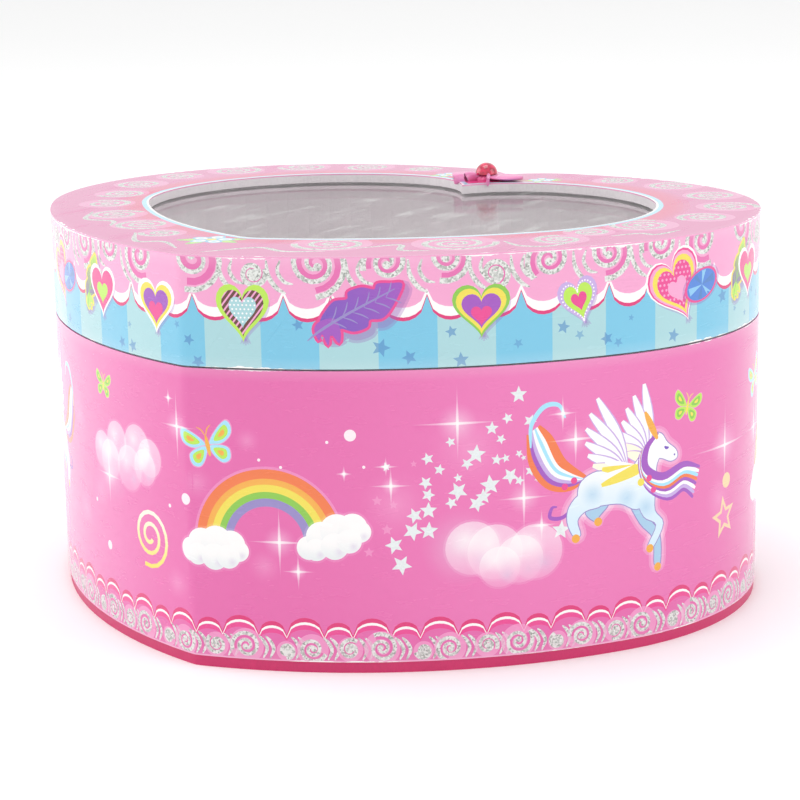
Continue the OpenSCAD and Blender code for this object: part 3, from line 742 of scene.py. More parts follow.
    def unicorn(self, spot: Spot) -> None:
        """Prints a leaping winged horse with a horn, its own length 44, its head to the right."""
        shade = flat(Ink.SKIN_SHADE)
        skin = fade(Ink.WHITE, Ink.SKIN, spot.at(0, 9), spot.at(0, -4))
        edge = Ink.RAINBOW_BLUE
        body = [(-9.5, 4.5), (-10.5, 1.5), (-9.5, -2), (-5, -1.6), (0, -1.8), (4, -3.6), (8, -2), (9, 2),
                (9.5, 6),
                (11, 9), (8.5, 11.5), (5.5, 9), (2.5, 6), (-2, 5.6), (-6, 6.2)]
        head = [(7.5, 9.8), (8.5, 7.6), (11, 7.0), (13.5, 6.0), (15.4, 6.6), (15, 8.4), (12.5, 10.4),
                (10.8, 12.6),
                (8.8, 12.8)]
        legs = [
            [(-9.5, 1.5), (-12.5, -1), (-13, -4.5), (-11.4, -8), (-9.9, -7.6), (-10.6, -4.4), (-8.6, -2.4),
             (-5, -1.5)],
            [(-7, -0.5), (-8.6, -3), (-6, -5.2), (-5.4, -4), (-3.4, -2), (-3, -0.6)],
            [(4.4, -1), (6, -5.6), (9.4, -8), (7.2, -12.4), (8.6, -13), (11.4, -8), (9, -4.6), (8.6, 0)],
            [(2, -1), (5, -7), (8.6, -11), (9, -17), (10.6, -17), (10.4, -10.4), (7.4, -6), (6, -1)],
        ]
        hooves = [(-11.0, -8.4), (-5.6, -5.2), (7.7, -13.2), (9.9, -17.8)]
        whole = [spot.put(curve(shape, 4, closed=True)) for shape in (body, head, *legs)]
        for grown in (1.5, 0.9):
            for outline in whole:
                self.add(swell(anticlockwise(outline), grown), flat(Ink.WHITE, 0.22))
        tail = [(Ink.ORANGE, 0.0), (Ink.PURPLE, 1.6), (Ink.LILAC, 2.8), (Ink.WHITE, 3.9), (Ink.SKY, 5.0),
                (Ink.WHITE, 6.0), (Ink.ORANGE, 7.0)]
        for ink, lift in tail:
            self.taper([(-8.5, 5.2), (-12.5, 3.4 + 0.62 * lift), (-17.5 + 0.4 * lift, 4.6 + 0.75 * lift),
                        (-21 + 0.55 * lift, 9.5 + 0.75 * lift), (-22 + 0.35 * lift, 16 + 0.25 * lift)], 2.1,
                       flat(ink), spot)
        self.taper([(-21.4, 13), (-21.2, 18), (-18.4, 21.8), (-15, 22), (-13.4, 19)], 1.1, flat(Ink.SKY),
                   spot)
        self.taper([(-8.5, 3.4), (-11, -0.5), (-14, -3.2), (-17, -3), (-16.6, -0.9), (-15.4, -0.7)], 0.9,
                   flat(Ink.PURPLE), spot)
        for back in (1, 0):
            root = (1.5 + 4.4 * back, 4.5 + 2.0 * back)
            for i in range(7):
                lean = 112 - 22 * back + 9.5 * i
                reach = 19.5 - 2.1 * i - 1.5 * back
                tip = (root[0] + reach * math.cos(math.radians(lean)),
                       root[1] + reach * math.sin(math.radians(lean)))
                bend = (root[0] * 0.5 + tip[0] * 0.5 + 1.3, root[1] * 0.5 + tip[1] * 0.5)
                self.taper([root, bend, tip], 3.0, flat(Ink.LILAC), spot)
                self.taper([root, bend, tip], 2.3, flat(Ink.WHITE if i < 5 else Ink.CREAM), spot)
        for leg in legs[1], legs[3]:
            self.blob(leg, spot, shade, edge)
        for shape in (legs[0], legs[2], body, head):
            outline = spot.put(curve(shape, 4, closed=True))
            self.add(swell(anticlockwise(outline), 0.22), flat(edge))
        for shape in (legs[0], legs[2], body, head):
            self.add(spot.put(curve(shape, 4, closed=True)), skin)
        for x, y in hooves:
            self.add(spot.put(circle(1.0, 12) + (x, y)), flat(Ink.HORN))
        for x, y in ((-7, 1.2), (1.5, -0.6), (6.5, -3.5)):
            self.haze(*spot.at(x, y), 3.2 * spot.scale, Ink.SKIN_SHADE, 0.7)
        for i in range(4):
            lean = 150 + 14 * i
            tip = (3.5 + 8.5 * math.cos(math.radians(lean)), 4.5 + 7.5 * math.sin(math.radians(lean)))
            self.taper([(5.0, 6.5), (3.6, 5.4), tip], 2.6, flat(Ink.YELLOW if i % 2 else Ink.WHITE), spot)
        mane = [(Ink.PURPLE, 4.6), (Ink.LILAC, 3.7), (Ink.WHITE, 2.8), (Ink.PURPLE, 2.0), (Ink.ORANGE, 1.2),
                (Ink.SKY, 0.4), (Ink.WHITE, -0.4), (Ink.PURPLE, -1.2)]
        for ink, fall in mane:
            self.taper([(9.8, 13.0), (6.4 - 0.25 * fall, 9.6 - 0.3 * fall),
                        (6.6 + 0.1 * fall, 4.6 - 0.7 * fall),
                        (11.5 + 0.3 * fall, 1.8 - 0.85 * fall), (17.5, 3.4 - 0.95 * fall),
                        (22.5 - 0.4 * fall, 1.6 - 1.15 * fall)], 1.9, flat(ink), spot)
        for x, y in ((-11.4, 4.8), (-13.6, 3.6), (7.4, 3.0), (8.6, 0.2)):
            self.disc(*spot.at(x, y), 0.75 * spot.scale, Ink.HOT_PINK)
        self.disc(*spot.at(5.2, 2.4), 0.9 * spot.scale, Ink.YELLOW)
        self.taper([(9.6, 11.6), (8.0, 14.6), (6.2, 18.2)], 1.7, flat(Ink.HORN), spot)
        self.taper([(11.6, 9.6), (12.2, 9.2), (12.9, 9.2)], 0.7, flat(Ink.VIOLET), spot)
        self.disc(*spot.at(14.6, 7.3), 0.25 * spot.scale, Ink.VIOLET)


def anticlockwise(outline: Points) -> Points:
    """A closed outline, turned round if it runs clockwise."""
    x, y = outline[:, 0], outline[:, 1]
    twice_area = np.sum(x * np.roll(y, -1) - np.roll(x, -1) * y)
    return outline if twice_area > 0 else outline[::-1]


# ---------------------------------------------------------------- cutting artwork into a mesh


def triangulate(points: Points, edges: Sequence[tuple[int, int]],
                keep: Callable[[Points], np.ndarray]) -> tuple[Points, np.ndarray]:
    """Cuts a flat region into triangles along given edges.

    Args:
        points: Every point.
        edges: Pairs of points that stay joined.
        keep: Tells which places lie in the region.

    Returns:
        The points in use and the triangles.
    """
    made = delaunay_2d_cdt([Vector(p) for p in points.tolist()], edges, [], 0, MERGE_MM, False)
    flat_points, triangles = np.array([tuple(v) for v in made[0]]), np.array(made[2])
    triangles = triangles[keep(flat_points[triangles].mean(axis=1))]
    span = flat_points[triangles][:, 1:] - flat_points[triangles][:, :1]
    area = span[:, 0, 0] * span[:, 1, 1] - span[:, 0, 1] * span[:, 1, 0]
    used, triangles = np.unique(triangles[area > LEAST_AREA], return_inverse=True)
    return flat_points[used], triangles.reshape(-1, 3)


def path_edges(paths: Sequence[tuple[Points, bool]]) -> tuple[Points, list[tuple[int, int]]]:
    """Strings paths together for cutting.

    Args:
        paths: Each path and whether it is closed.

    Returns:
        All their points and the edges between them.
    """
    edges, first = [], 0
    for path, closed in paths:
        count = len(path)
        edges += [(first + i, first + (i + 1) % count) for i in range(count if closed else count - 1)]
        first += count
    return np.vstack([path for path, _ in paths]), edges


@dataclass
class CutArtwork:
    """Artwork cut into triangles: its flat points, its triangles and what is printed at each corner."""

    points: Points
    triangles: np.ndarray
    colour: np.ndarray
    foil: np.ndarray

    @staticmethod
    def cut(art: Artwork, loops: Sequence[Points], lines: Sequence[Points], grid: Points,
            keep: Callable[[Points], np.ndarray]) -> "CutArtwork":
        """Cuts artwork along every outline in it.

        Args:
            art: The artwork.
            loops: Closed outlines of the sheet.
            lines: Open lines along which the sheet is folded.
            grid: Points that keep the triangles small.
            keep: Tells which points lie on the sheet.

        Returns:
            The cut artwork.
        """
        closed = [*loops, *[layer.outline for layer in art.layers]]
        points, edges = path_edges([(path, True) for path in closed] + [(path, False) for path in lines])
        inner = [layer.inner for layer in art.layers if layer.inner is not None]
        points, triangles = triangulate(np.vstack([points, grid, *inner]), edges, keep)
        cut = CutArtwork(points, triangles, np.zeros((len(triangles), 3, 3)), np.zeros((len(triangles), 3)))
        cut.print_layers(art)
        return cut

    def plain_back(self, lines: Sequence[Points], grid: Points,
                   keep: Callable[[Points], np.ndarray]) -> tuple[Points, np.ndarray]:
        """Cuts the sheet's plain back, which shares the points of its rim.

        Args:
            lines: Open lines along which the sheet is folded.
            grid: Points that keep the triangles small.
            keep: Tells which points lie on the sheet.

        Returns:
            The back's points and triangles.
        """
        rim = open_edges(self.triangles)
        used, edges = np.unique(rim, return_inverse=True)
        points, pairs = self.points[used], [tuple(pair) for pair in edges.reshape(-1, 2).tolist()]
        if lines:
            more, folds = path_edges([(path, False) for path in lines])
            pairs += [(a + len(points), b + len(points)) for a, b in folds]
            points = np.vstack([points, more])
        return triangulate(np.vstack([points, grid]), pairs, keep)

    def print_layers(self, art: Artwork) -> None:
        """Prints the ground and each layer onto the triangles."""
        corners = self.points[self.triangles]
        middles = corners.mean(axis=1)
        self.colour[:] = art.ground(corners.reshape(-1, 2))[:, :3].reshape(-1, 3, 3)
        for layer in art.layers:
            hit = within_shape(middles, layer.outline)
            if layer.within is not None:
                hit &= within_shape(middles, layer.within)
            if not hit.any():
                continue
            paint = layer.paint(corners[hit].reshape(-1, 2)).reshape(-1, 3, 4)
            alpha = paint[:, :, 3]
            self.colour[hit] += alpha[:, :, None] * (paint[:, :, :3] - self.colour[hit])
            self.foil[hit] += alpha * (layer.foil - self.foil[hit])


def cover(low: tuple[float, float], high: tuple[float, float], step: tuple[float, float]) -> Points:
    """A staggered grid of points over a rectangle.

    Args:
        low: Its lower left corner.
        high: Its upper right corner.
        step: Distances between points along and up.

    Returns:
        An array of x and y that stays clear of the rectangle's own edges.
    """
    columns = round((high[0] - low[0]) / step[0])
    rows = round((high[1] - low[1]) / step[1])
    spots = []
    for i in range(1, columns):
        for j in range(1, rows):
            stagger = 0.5 if i % 2 else 0.0
            y = low[1] + (j + stagger) * (high[1] - low[1]) / rows
            if y < high[1] - 0.3 * step[1]:
                spots.append((low[0] + i * (high[0] - low[0]) / columns, y))
    return np.array(spots)


def open_edges(triangles: np.ndarray) -> np.ndarray:
    """The edges that only one triangle has, in that triangle's direction."""
    edges = np.vstack([triangles[:, [0, 1]], triangles[:, [1, 2]], triangles[:, [2, 0]]])
    known = {(a, b) for a, b in edges.tolist()}
    return np.array([(a, b) for a, b in edges.tolist() if (b, a) not in known])


@dataclass
class PaperMesh:
    """A thin printed sheet closed on all sides, with its print stored at its corners."""

    name: str
    outer: Points
    triangles: np.ndarray
    inner: Points
    inner_triangles: np.ndarray
    partner: np.ndarray
    art: CutArtwork
    face_map: np.ndarray
    back_map: np.ndarray
    rim_map: tuple[float, float, float, float]
    rim_ink: Ink
    edge_distance: np.ndarray

    def build(self, material: bpy.types.Material) -> bpy.types.Object:
        """Makes the sheet's object.

        Args:
            material: Its finish.

        Returns:
            The object, at the origin.
        """
        rim = open_edges(self.triangles)
        count = len(self.outer)
        behind = self.partner[rim] + count
        sides_of_rim = np.stack([behind[:, 0], behind[:, 1], rim[:, 1], rim[:, 0]], axis=1)
        faces = [*self.triangles.tolist(), *(self.inner_triangles[:, ::-1] + count).tolist(),
                 *sides_of_rim.tolist()]
        mesh = bpy.data.meshes.new(self.name)
        mesh.from_pydata(np.vstack([self.outer, self.inner]).tolist(), [], faces)
        rim_count = 4 * len(rim)
        corner_count = 3 * len(self.inner_triangles)
        back = np.tile(Ink.WHITE.display, (corner_count, 1))
        rim_colour = np.tile(self.rim_ink.display, (rim_count, 1))
        colour = to_linear(np.vstack([self.art.colour.reshape(-1, 3), back, rim_colour]))
        ink = mesh.color_attributes.new("ink", "FLOAT_COLOR", "CORNER")
        ink.data.foreach_set("color", np.hstack([colour,
                                                 np.ones((len(colour), 1))]).astype(np.float32).ravel())
        foil = mesh.attributes.new("foil", "FLOAT", "CORNER")
        foil.data.foreach_set("value", np.concatenate(
            [self.art.foil.ravel(), np.zeros(corner_count + rim_count)]).astype(np.float32))
        edge = mesh.attributes.new("edge_mm", "FLOAT", "CORNER")
        far = np.full(corner_count + rim_count, UNWORN_MM)
        edge.data.foreach_set("value", np.concatenate([self.edge_distance.ravel(), far]).astype(np.float32))
        u0, v0, width, height = self.rim_map
        step = np.arange(len(rim))[:, None] / len(rim)
        next_step = step + 1 / len(rim)
        rim_u = u0 + width * np.hstack([step, next_step, next_step, step])
        rim_v = v0 + height * np.tile([0.0, 0.0, 1.0, 1.0], (len(rim), 1))
        bake = mesh.uv_layers.new(name=BAKE_MAP)
        bake.data.foreach_set("uv", np.vstack([
            self.face_map.reshape(-1, 2), self.back_map[:, ::-1].reshape(-1, 2),
            np.stack([rim_u, rim_v], axis=2).reshape(-1, 2)]).astype(np.float32).ravel())
        mesh.materials.append(material)
        return finish_object(self.name, mesh, sharp=40)


def finish_object(name: str, mesh: bpy.types.Mesh, sharp: float = 35) -> bpy.types.Object:
    """Shades a mesh smoothly with crisp corners and puts it in the scene.

    Args:
        name: The object's name.
        mesh: Its mesh, in the frame.
        sharp: Angle in degrees above which a corner stays crisp.

    Returns:
        The object, at the origin.
    """
    mesh.update()
    mesh.validate()
    mesh.polygons.foreach_set("use_smooth", [True] * len(mesh.polygons))
    mesh.set_sharp_from_angle(angle=math.radians(sharp))
    made = bpy.data.objects.new(name, mesh)
    bpy.context.scene.collection.objects.link(made)
    log.info("%s: %d faces", name, len(mesh.polygons))
    return made


def hand_over(made: bpy.types.Object, body: str, slot: str, *nodes: str) -> bpy.types.Object:
    """Lets a piece ride on its body and stand for its CAD nodes.

    Args:
        made: The piece.
        body: The CAD body that it moves with.
        slot: The record's material slot of its finish; not used.
        nodes: The CAD nodes that it stands for.

    Returns:
        The piece.
    """
    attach(made, body)
    if nodes:
        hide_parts(*nodes)
    return made


# ---------------------------------------------------------------- shader nodes


class Board:
    """A node tree with short ways to add nodes and links."""

    def __init__(self, tree: bpy.types.NodeTree) -> None:
        """Keeps the tree."""
        self.tree = tree

    def add(self, kind: str, values: dict | None = None, **settings: object) -> bpy.types.Node:
        """Adds a node.

        Args:
            kind: The node's type.
            values: For each input its value, or the output that feeds it.
            settings: The node's own settings.

        Returns:
            The node.
        """
        node = self.tree.nodes.new(kind)
        for key, value in settings.items():
            setattr(node, key, value)
        self.feed(node, values or {})
        return node

    def link(self, source: bpy.types.NodeSocket, target: bpy.types.NodeSocket) -> None:
        """Links an output to an input."""
        self.tree.links.new(source, target)

    def feed(self, node: bpy.types.Node, values: dict) -> None:
        """Gives each named input its value, or the output that feeds it."""
        for key, value in values.items():
            if isinstance(value, bpy.types.NodeSocket):
                self.link(value, node.inputs[key])
            else:
                node.inputs[key].default_value = value

    def math(self, operation: str, first: object, second: object = 0.0,
             clamp: bool = False) -> bpy.types.NodeSocket:
        """Adds a sum of two values and returns its output."""
        return self.add("ShaderNodeMath", {0: first, 1: second}, operation=operation,
                        use_clamp=clamp).outputs[0]

    def mix(self, share: object, first: object, second: object) -> bpy.types.NodeSocket:
        """Mixes two colours and returns the output."""
        node = self.add("ShaderNodeMix", {0: share, 6: first, 7: second}, data_type="RGBA")
        return node.outputs[2]

    def step(self, value: object, low: float, high: float) -> bpy.types.NodeSocket:
        """Spreads a value from low to high over 0 to 1 and returns the output."""
        return self.add("ShaderNodeMapRange", {0: value, 1: low, 2: high}).outputs[0]

    def noise(self, where: object, scale: object, detail: float = 3.0) -> bpy.types.Node:
        """Adds a noise texture."""
        return self.add("ShaderNodeTexNoise", {"Vector": where, "Scale": scale, "Detail": detail})


def spaced(values: dict[str, object]) -> dict[str, object]:
    """Turns the underscores in the names of inputs into spaces."""
    return {key.replace("_", " "): value for key, value in values.items()}


def toned(ink: Sequence[float], share: float) -> tuple[float, ...]:
    """A colour made darker or lighter, with full alpha."""
    return (*[min(1.0, c * share) for c in ink[:3]], 1.0)


class Effect(Enum):
    """Surface effects that several finishes share, each a node group of that name."""

    GLITTER = "Glitter"
    FIBRE = "Paper fibre"
    WEAR = "Edge wear"
    SCUFF = "Fine scuffs"
    BRUSHED = "Brushing"
    GRAIN = "Wood grain"


class EffectLibrary:
    """Builds each shared effect once."""

    def __init__(self) -> None:
        """Builds every effect."""
        self.trees = {
            Effect.GLITTER: self._glitter(),
            Effect.FIBRE: self._fibre(),
            Effect.WEAR: self._wear(),
            Effect.SCUFF: self._scuff(),
            Effect.BRUSHED: self._brushed(),
            Effect.GRAIN: self._grain(),
        }

    def place(self, board: Board, effect: Effect, **values: object) -> bpy.types.Node:
        """Puts an effect into a material.

        Args:
            board: The material's nodes.
            effect: Which effect.
            values: Its inputs, spaces in their names written as underscores.

        Returns:
            The group node.
        """
        return board.add("ShaderNodeGroup", spaced(values), node_tree=self.trees[effect])

    @staticmethod
    def _open(effect: Effect, inputs: dict[str, float], outputs: Sequence[str]) -> tuple[Board, dict, dict]:
        """Starts a group whose first input is the place.

        Args:
            effect: Which effect.
            inputs: Its number inputs and their defaults.
            outputs: Names of its number outputs.

        Returns:
            Its nodes, its inputs as sockets to read, and its outputs as sockets to feed.
        """
        tree = bpy.data.node_groups.new(effect.value, "ShaderNodeTree")
        tree.interface.new_socket(name="Place", in_out="INPUT", socket_type="NodeSocketVector")
        for name, value in inputs.items():
            socket = tree.interface.new_socket(name=name, in_out="INPUT", socket_type="NodeSocketFloat")
            socket.default_value = value
        for name in outputs:
            tree.interface.new_socket(name=name, in_out="OUTPUT", socket_type="NodeSocketFloat")
        board = Board(tree)
        source, sink = board.add("NodeGroupInput"), board.add("NodeGroupOutput")
        given = {s.name: s for s in source.outputs if s.name}
        return board, given, {s.name: s for s in sink.inputs if s.name}

    def _glitter(self) -> bpy.types.NodeTree:
        """Flakes of foil, each with its own tilt and a random shade that the print uses as painted glints."""
        board, given, put = self._open(Effect.GLITTER, {"Scale": 3000.0}, ("Shade", "Height"))
        flakes = board.add("ShaderNodeTexVoronoi", {"Vector": given["Place"], "Scale": given["Scale"]})
        value = board.add("ShaderNodeSeparateColor", {0: flakes.outputs["Color"]})
        board.link(board.math("POWER", value.outputs[0], 0.7), put["Shade"])
        board.link(board.math("MULTIPLY", value.outputs[1], flakes.outputs["Distance"]), put["Height"])
        return board.tree

    def _fibre(self) -> bpy.types.NodeTree:
        """Short fibres and specks of board or paper."""
        board, given, put = self._open(Effect.FIBRE, {"Scale": 900.0, "Specks": 0.3}, ("Shade", "Height"))
        stretched = board.add("ShaderNodeMapping", {"Vector": given["Place"], "Scale": (1.0, 3.5, 1.0)})
        fine = board.noise(stretched.outputs[0], given["Scale"], 4.0).outputs[0]
        wide = board.noise(given["Place"], 60.0, 2.0).outputs[0]
        specks = board.add("ShaderNodeTexVoronoi", {"Vector": given["Place"], "Scale": given["Scale"]})
        dots = board.math("LESS_THAN", specks.outputs["Distance"], 0.16)
        both = board.math("ADD", board.math("MULTIPLY", fine, 0.6), board.math("MULTIPLY", wide, 0.4))
        darker = board.math("MULTIPLY", dots, given["Specks"])
        board.link(board.math("SUBTRACT", both, darker, clamp=True), put["Shade"])
        board.link(fine, put["Height"])
        return board.tree

    def _wear(self) -> bpy.types.NodeTree:
        """Chips and rubbing close to an edge."""
        board, given, put = self._open(Effect.WEAR, {"Edge mm": UNWORN_MM, "Reach mm": 0.6},
                                       ("Worn", "Rubbed"))
        chips = board.noise(given["Place"], 420.0, 5.0).outputs[0]
        where = board.noise(given["Place"], 38.0, 1.0).outputs[0]
        room = board.math("MULTIPLY", given["Reach mm"], board.step(where, 0.5, 0.68))
        ragged = board.math("MULTIPLY", room, board.step(chips, 0.38, 0.62))
        worn = board.math("SUBTRACT", ragged, given["Edge mm"])
        board.link(board.step(worn, 0.0, 0.05), put["Worn"])
        near = board.math("DIVIDE", given["Edge mm"], 2.5)
        board.link(board.math("SUBTRACT", 1.0, near, clamp=True), put["Rubbed"])
        return board.tree

    def _scuff(self) -> bpy.types.NodeTree:
        """Fine scuffs and a slight waviness of a laminated or polished surface."""
        board, given, put = self._open(Effect.SCUFF, {"Scale": 150.0}, ("Scuff", "Height"))
        turned = board.add("ShaderNodeMapping", {"Vector": given["Place"], "Scale": (1.0, 0.25, 3.0),
                                                 "Rotation": (0.2, 0.5, 0.3)})
        lines = board.noise(turned.outputs[0], given["Scale"], 6.0).outputs[0]
        board.link(board.step(lines, 0.56, 0.72), put["Scuff"])
        board.link(board.noise(given["Place"], 45.0, 2.0).outputs[0], put["Height"])
        return board.tree

    def _brushed(self) -> bpy.types.NodeTree:
        """Long brush lines of metal."""
        board, given, put = self._open(Effect.BRUSHED, {"Scale": 900.0, "Stretch": 12.0}, ("Shade", "Height"))
        stretch = board.add("ShaderNodeCombineXYZ", {0: 1.0, 1: given["Stretch"], 2: 1.0})
        pulled = board.add("ShaderNodeVectorMath", {0: given["Place"], 1: stretch.outputs[0]},
                           operation="MULTIPLY")
        lines = board.noise(pulled.outputs[0], given["Scale"], 4.0).outputs[0]
        board.link(board.step(lines, 0.3, 0.7), put["Shade"])
        board.link(lines, put["Height"])
        return board.tree

    def _grain(self) -> bpy.types.NodeTree:
        """Softwood rings."""
        board, given, put = self._open(Effect.GRAIN, {"Scale": 90.0}, ("Shade", "Height"))
        rings = board.add("ShaderNodeTexWave",
                          {"Vector": given["Place"], "Scale": given["Scale"], "Distortion": 4.0,
                                                "Detail": 3.0, "Detail Scale": 1.5})
        fine = board.noise(given["Place"], 1400.0, 3.0).outputs[0]
        mixed = board.math("ADD", board.math("MULTIPLY", rings.outputs["Fac"], 0.7),
                           board.math("MULTIPLY", fine, 0.3))
        board.link(mixed, put["Shade"])
        board.link(fine, put["Height"])
        return board.tree


EFFECTS = EffectLibrary()


@dataclass(frozen=True)
class Finish:
    """What every finish has: a name and a ready start of its material."""

    name: str

    def open(self) -> tuple[bpy.types.Material, Board, bpy.types.Node, bpy.types.NodeSocket]:
        """Starts the material.

        Returns:
            The material, its nodes, its surface shader and the object coordinates.
        """
        material = bpy.data.materials.new(self.name)
        material.use_nodes = True
        board = Board(material.node_tree)
        board.tree.nodes.clear()
        shader = board.add("ShaderNodeBsdfPrincipled")
        board.add("ShaderNodeOutputMaterial", {"Surface": shader.outputs[0]})
        place = board.add("ShaderNodeTexCoord").outputs["Object"]
        return material, board, shader, place

    @staticmethod
    def relief(board: Board, shader: bpy.types.Node, height: object, distance: float,
               strength: float = 0.5) -> None:
        """Feeds a height into the shader's normal."""
        bump = board.add("ShaderNodeBump", {"Height": height, "Distance": distance, "Strength": strength})
        board.link(bump.outputs[0], shader.inputs["Normal"])

    @staticmethod
    def feed(board: Board, shader: bpy.types.Node, **values: object) -> None:
        """Sets or links shader inputs, spaces in their names written as underscores."""
        board.feed(shader, spaced(values))


@dataclass(frozen=True)
class PrintFinish(Finish):
    """Glossy laminated paper with printed ink and glitter foil."""

    chip_reach: float = 0.6

    def material(self) -> bpy.types.Material:
        """Builds the material from the sheet's ink, foil and edge attributes."""
        material, board, shader, place = self.open()
        ink = board.add("ShaderNodeAttribute", attribute_name="ink").outputs["Color"]
        foil = board.add("ShaderNodeAttribute", attribute_name="foil").outputs["Fac"]
        edge = board.add("ShaderNodeAttribute", attribute_name="edge_mm").outputs["Fac"]
        flakes = EFFECTS.place(board, Effect.GLITTER, Place=place, Scale=2600.0)
        wear = EFFECTS.place(board, Effect.WEAR, Place=place, Edge_mm=edge, Reach_mm=self.chip_reach)
        scuff = EFFECTS.place(board, Effect.SCUFF, Place=place)
        fibre = EFFECTS.place(board, Effect.FIBRE, Place=place, Scale=1500.0, Specks=0.0)
        # Painted glints: each flake's random shade mixes the foil toward near-black or white, as flakes that
        # miss or catch the light
        dark = board.mix(0.55, ink, (0.10, 0.12, 0.10, 1))
        bright = board.mix(0.5, ink, (1.0, 1.0, 0.97, 1))
        flake_glints = board.mix(board.step(flakes.outputs["Shade"], 0.12, 0.8), dark, bright)
        printed = board.mix(foil, ink, flake_glints)
        soft = board.mix(board.math("MULTIPLY", wear.outputs["Rubbed"], 0.10), printed, Ink.WHITE.linear)
        tinted = board.mix(board.math("MULTIPLY", fibre.outputs["Shade"], 0.05), soft, Ink.WINE.linear)
        chipped = board.mix(wear.outputs["Worn"], tinted, Ink.WHITE.linear)
        smooth = board.math("MULTIPLY", scuff.outputs["Scuff"], 0.12)
        base = board.math("ADD", smooth, 0.24)
        rough = board.math("ADD", base, board.math("MULTIPLY", foil, 0.16))
        rougher = board.math("ADD", rough, board.math("MULTIPLY", wear.outputs["Worn"], 0.4))
        metal = board.math("MULTIPLY", foil, 0.45)
        coat = board.math("MULTIPLY", board.math("SUBTRACT", 1.0, wear.outputs["Worn"]), 0.5)
        rise = board.math("ADD", board.math("MULTIPLY", scuff.outputs["Height"], 0.5),
                          board.math("MULTIPLY", foil, board.math("MULTIPLY", flakes.outputs["Height"], 1.2)))
        self.feed(board, shader, Base_Color=chipped, Roughness=rougher, Metallic=metal, Coat_Weight=coat,
                  Coat_Roughness=0.12)
        self.relief(board, shader, rise, 0.00022, 0.5)
        return material


@dataclass(frozen=True)
class CardFinish(Finish):
    """Paper or board with fibres."""

    ink: tuple[float, float, float]
    specks: float = 0.15
    gloss: float = 0.55
    depth: float = 0.00006

    def material(self) -> bpy.types.Material:
        """Builds the material."""
        material, board, shader, place = self.open()
        fibre = EFFECTS.place(board, Effect.FIBRE, Place=place, Scale=1100.0, Specks=self.specks)
        light, dark = toned(self.ink, 1.12), toned(self.ink, 0.78)
        scuff = EFFECTS.place(board, Effect.SCUFF, Place=place, Scale=90.0)
        self.feed(board, shader, Base_Color=board.mix(fibre.outputs["Shade"], dark, light),
                  Roughness=board.math("ADD", self.gloss,
                                       board.math("MULTIPLY", scuff.outputs["Scuff"], 0.15)))
        self.relief(board, shader, fibre.outputs["Height"], self.depth, 0.6)
        return material


@dataclass(frozen=True)
class MetalFinish(Finish):
    """Brushed or plated metal."""

    tone: tuple[float, float, float]
    gloss: float = 0.28

    def material(self) -> bpy.types.Material:
        """Builds the material."""
        material, board, shader, place = self.open()
        brushed = EFFECTS.place(board, Effect.BRUSHED, Place=place)
        scuff = EFFECTS.place(board, Effect.SCUFF, Place=place, Scale=400.0)
        dark = toned(self.tone, 0.72)
        rough = board.math("ADD", self.gloss, board.math("MULTIPLY", brushed.outputs["Shade"], 0.14))
        self.feed(board, shader, Base_Color=board.mix(brushed.outputs["Shade"], dark, (*self.tone, 1.0)),
                  Metallic=1.0,
                  Roughness=board.math("ADD", rough, board.math("MULTIPLY", scuff.outputs["Scuff"], 0.1)))
        self.relief(board, shader, brushed.outputs["Height"], 0.00002, 0.4)
        return material


@dataclass(frozen=True)
class PlasticFinish(Finish):
    """Moulded plastic with a little wear. It takes its colour from the ink attribute where it is painted."""

    ink: Ink
    gloss: float = 0.25
    painted: bool = False
    pearl: float = 0.0

    def material(self) -> bpy.types.Material:
        """Builds the material."""
        material, board, shader, place = self.open()
        scuff = EFFECTS.place(board, Effect.SCUFF, Place=place, Scale=500.0)
        fibre = EFFECTS.place(board, Effect.FIBRE, Place=place, Scale=700.0, Specks=0.0)
        base = self.ink.linear
        if self.painted:
            base = board.add("ShaderNodeAttribute", attribute_name="ink").outputs["Color"]
        tinted = board.mix(board.math("MULTIPLY", fibre.outputs["Shade"], 0.14), base, Ink.WHITE.linear)
        self.feed(board, shader, Base_Color=tinted,
                  Roughness=board.math("ADD", self.gloss,
                                       board.math("MULTIPLY", scuff.outputs["Scuff"], 0.2)),
                  Coat_Weight=0.3, Coat_Roughness=0.15, Sheen_Weight=self.pearl)
        self.relief(board, shader, scuff.outputs["Height"], 0.0001, 0.3)
        return material


@dataclass(frozen=True)
class ClearFinish(Finish):
    """Clear rigid sheet whose whitish veil is partly fine scuffs and haze and partly a painted reflection of
    the white surroundings.
    """

    tint: tuple[float, float, float] = (0.93, 1.0, 0.94)
    clear: float = 0.84

    def material(self) -> bpy.types.Material:
        """Builds the material."""
        material, board, shader, place = self.open()
        scuff = EFFECTS.place(board, Effect.SCUFF, Place=place, Scale=220.0)
        haze = board.noise(place, 30.0, 2.0).outputs[0]
        # The even part of the veil, 1 - clear, is a painted reflection of the white surroundings; scuffs and
        # haze add to it
        reflection_and_scuffs = board.math("ADD", 1 - self.clear, board.math("MULTIPLY", scuff.outputs["Scuff"], 0.18))
        reflection_scuffs_and_haze = board.math("ADD", reflection_and_scuffs, board.math("MULTIPLY", haze, 0.08), clamp=True)
        self.feed(board, shader, Base_Color=(*self.tint, 1.0), Alpha=reflection_scuffs_and_haze,
                  Roughness=board.math("ADD", 0.05, board.math("MULTIPLY", scuff.outputs["Scuff"], 0.2)),
                  Coat_Weight=1.0, Coat_Roughness=0.04)
        self.relief(board, shader, scuff.outputs["Height"], 0.0006, 0.35)
        return material


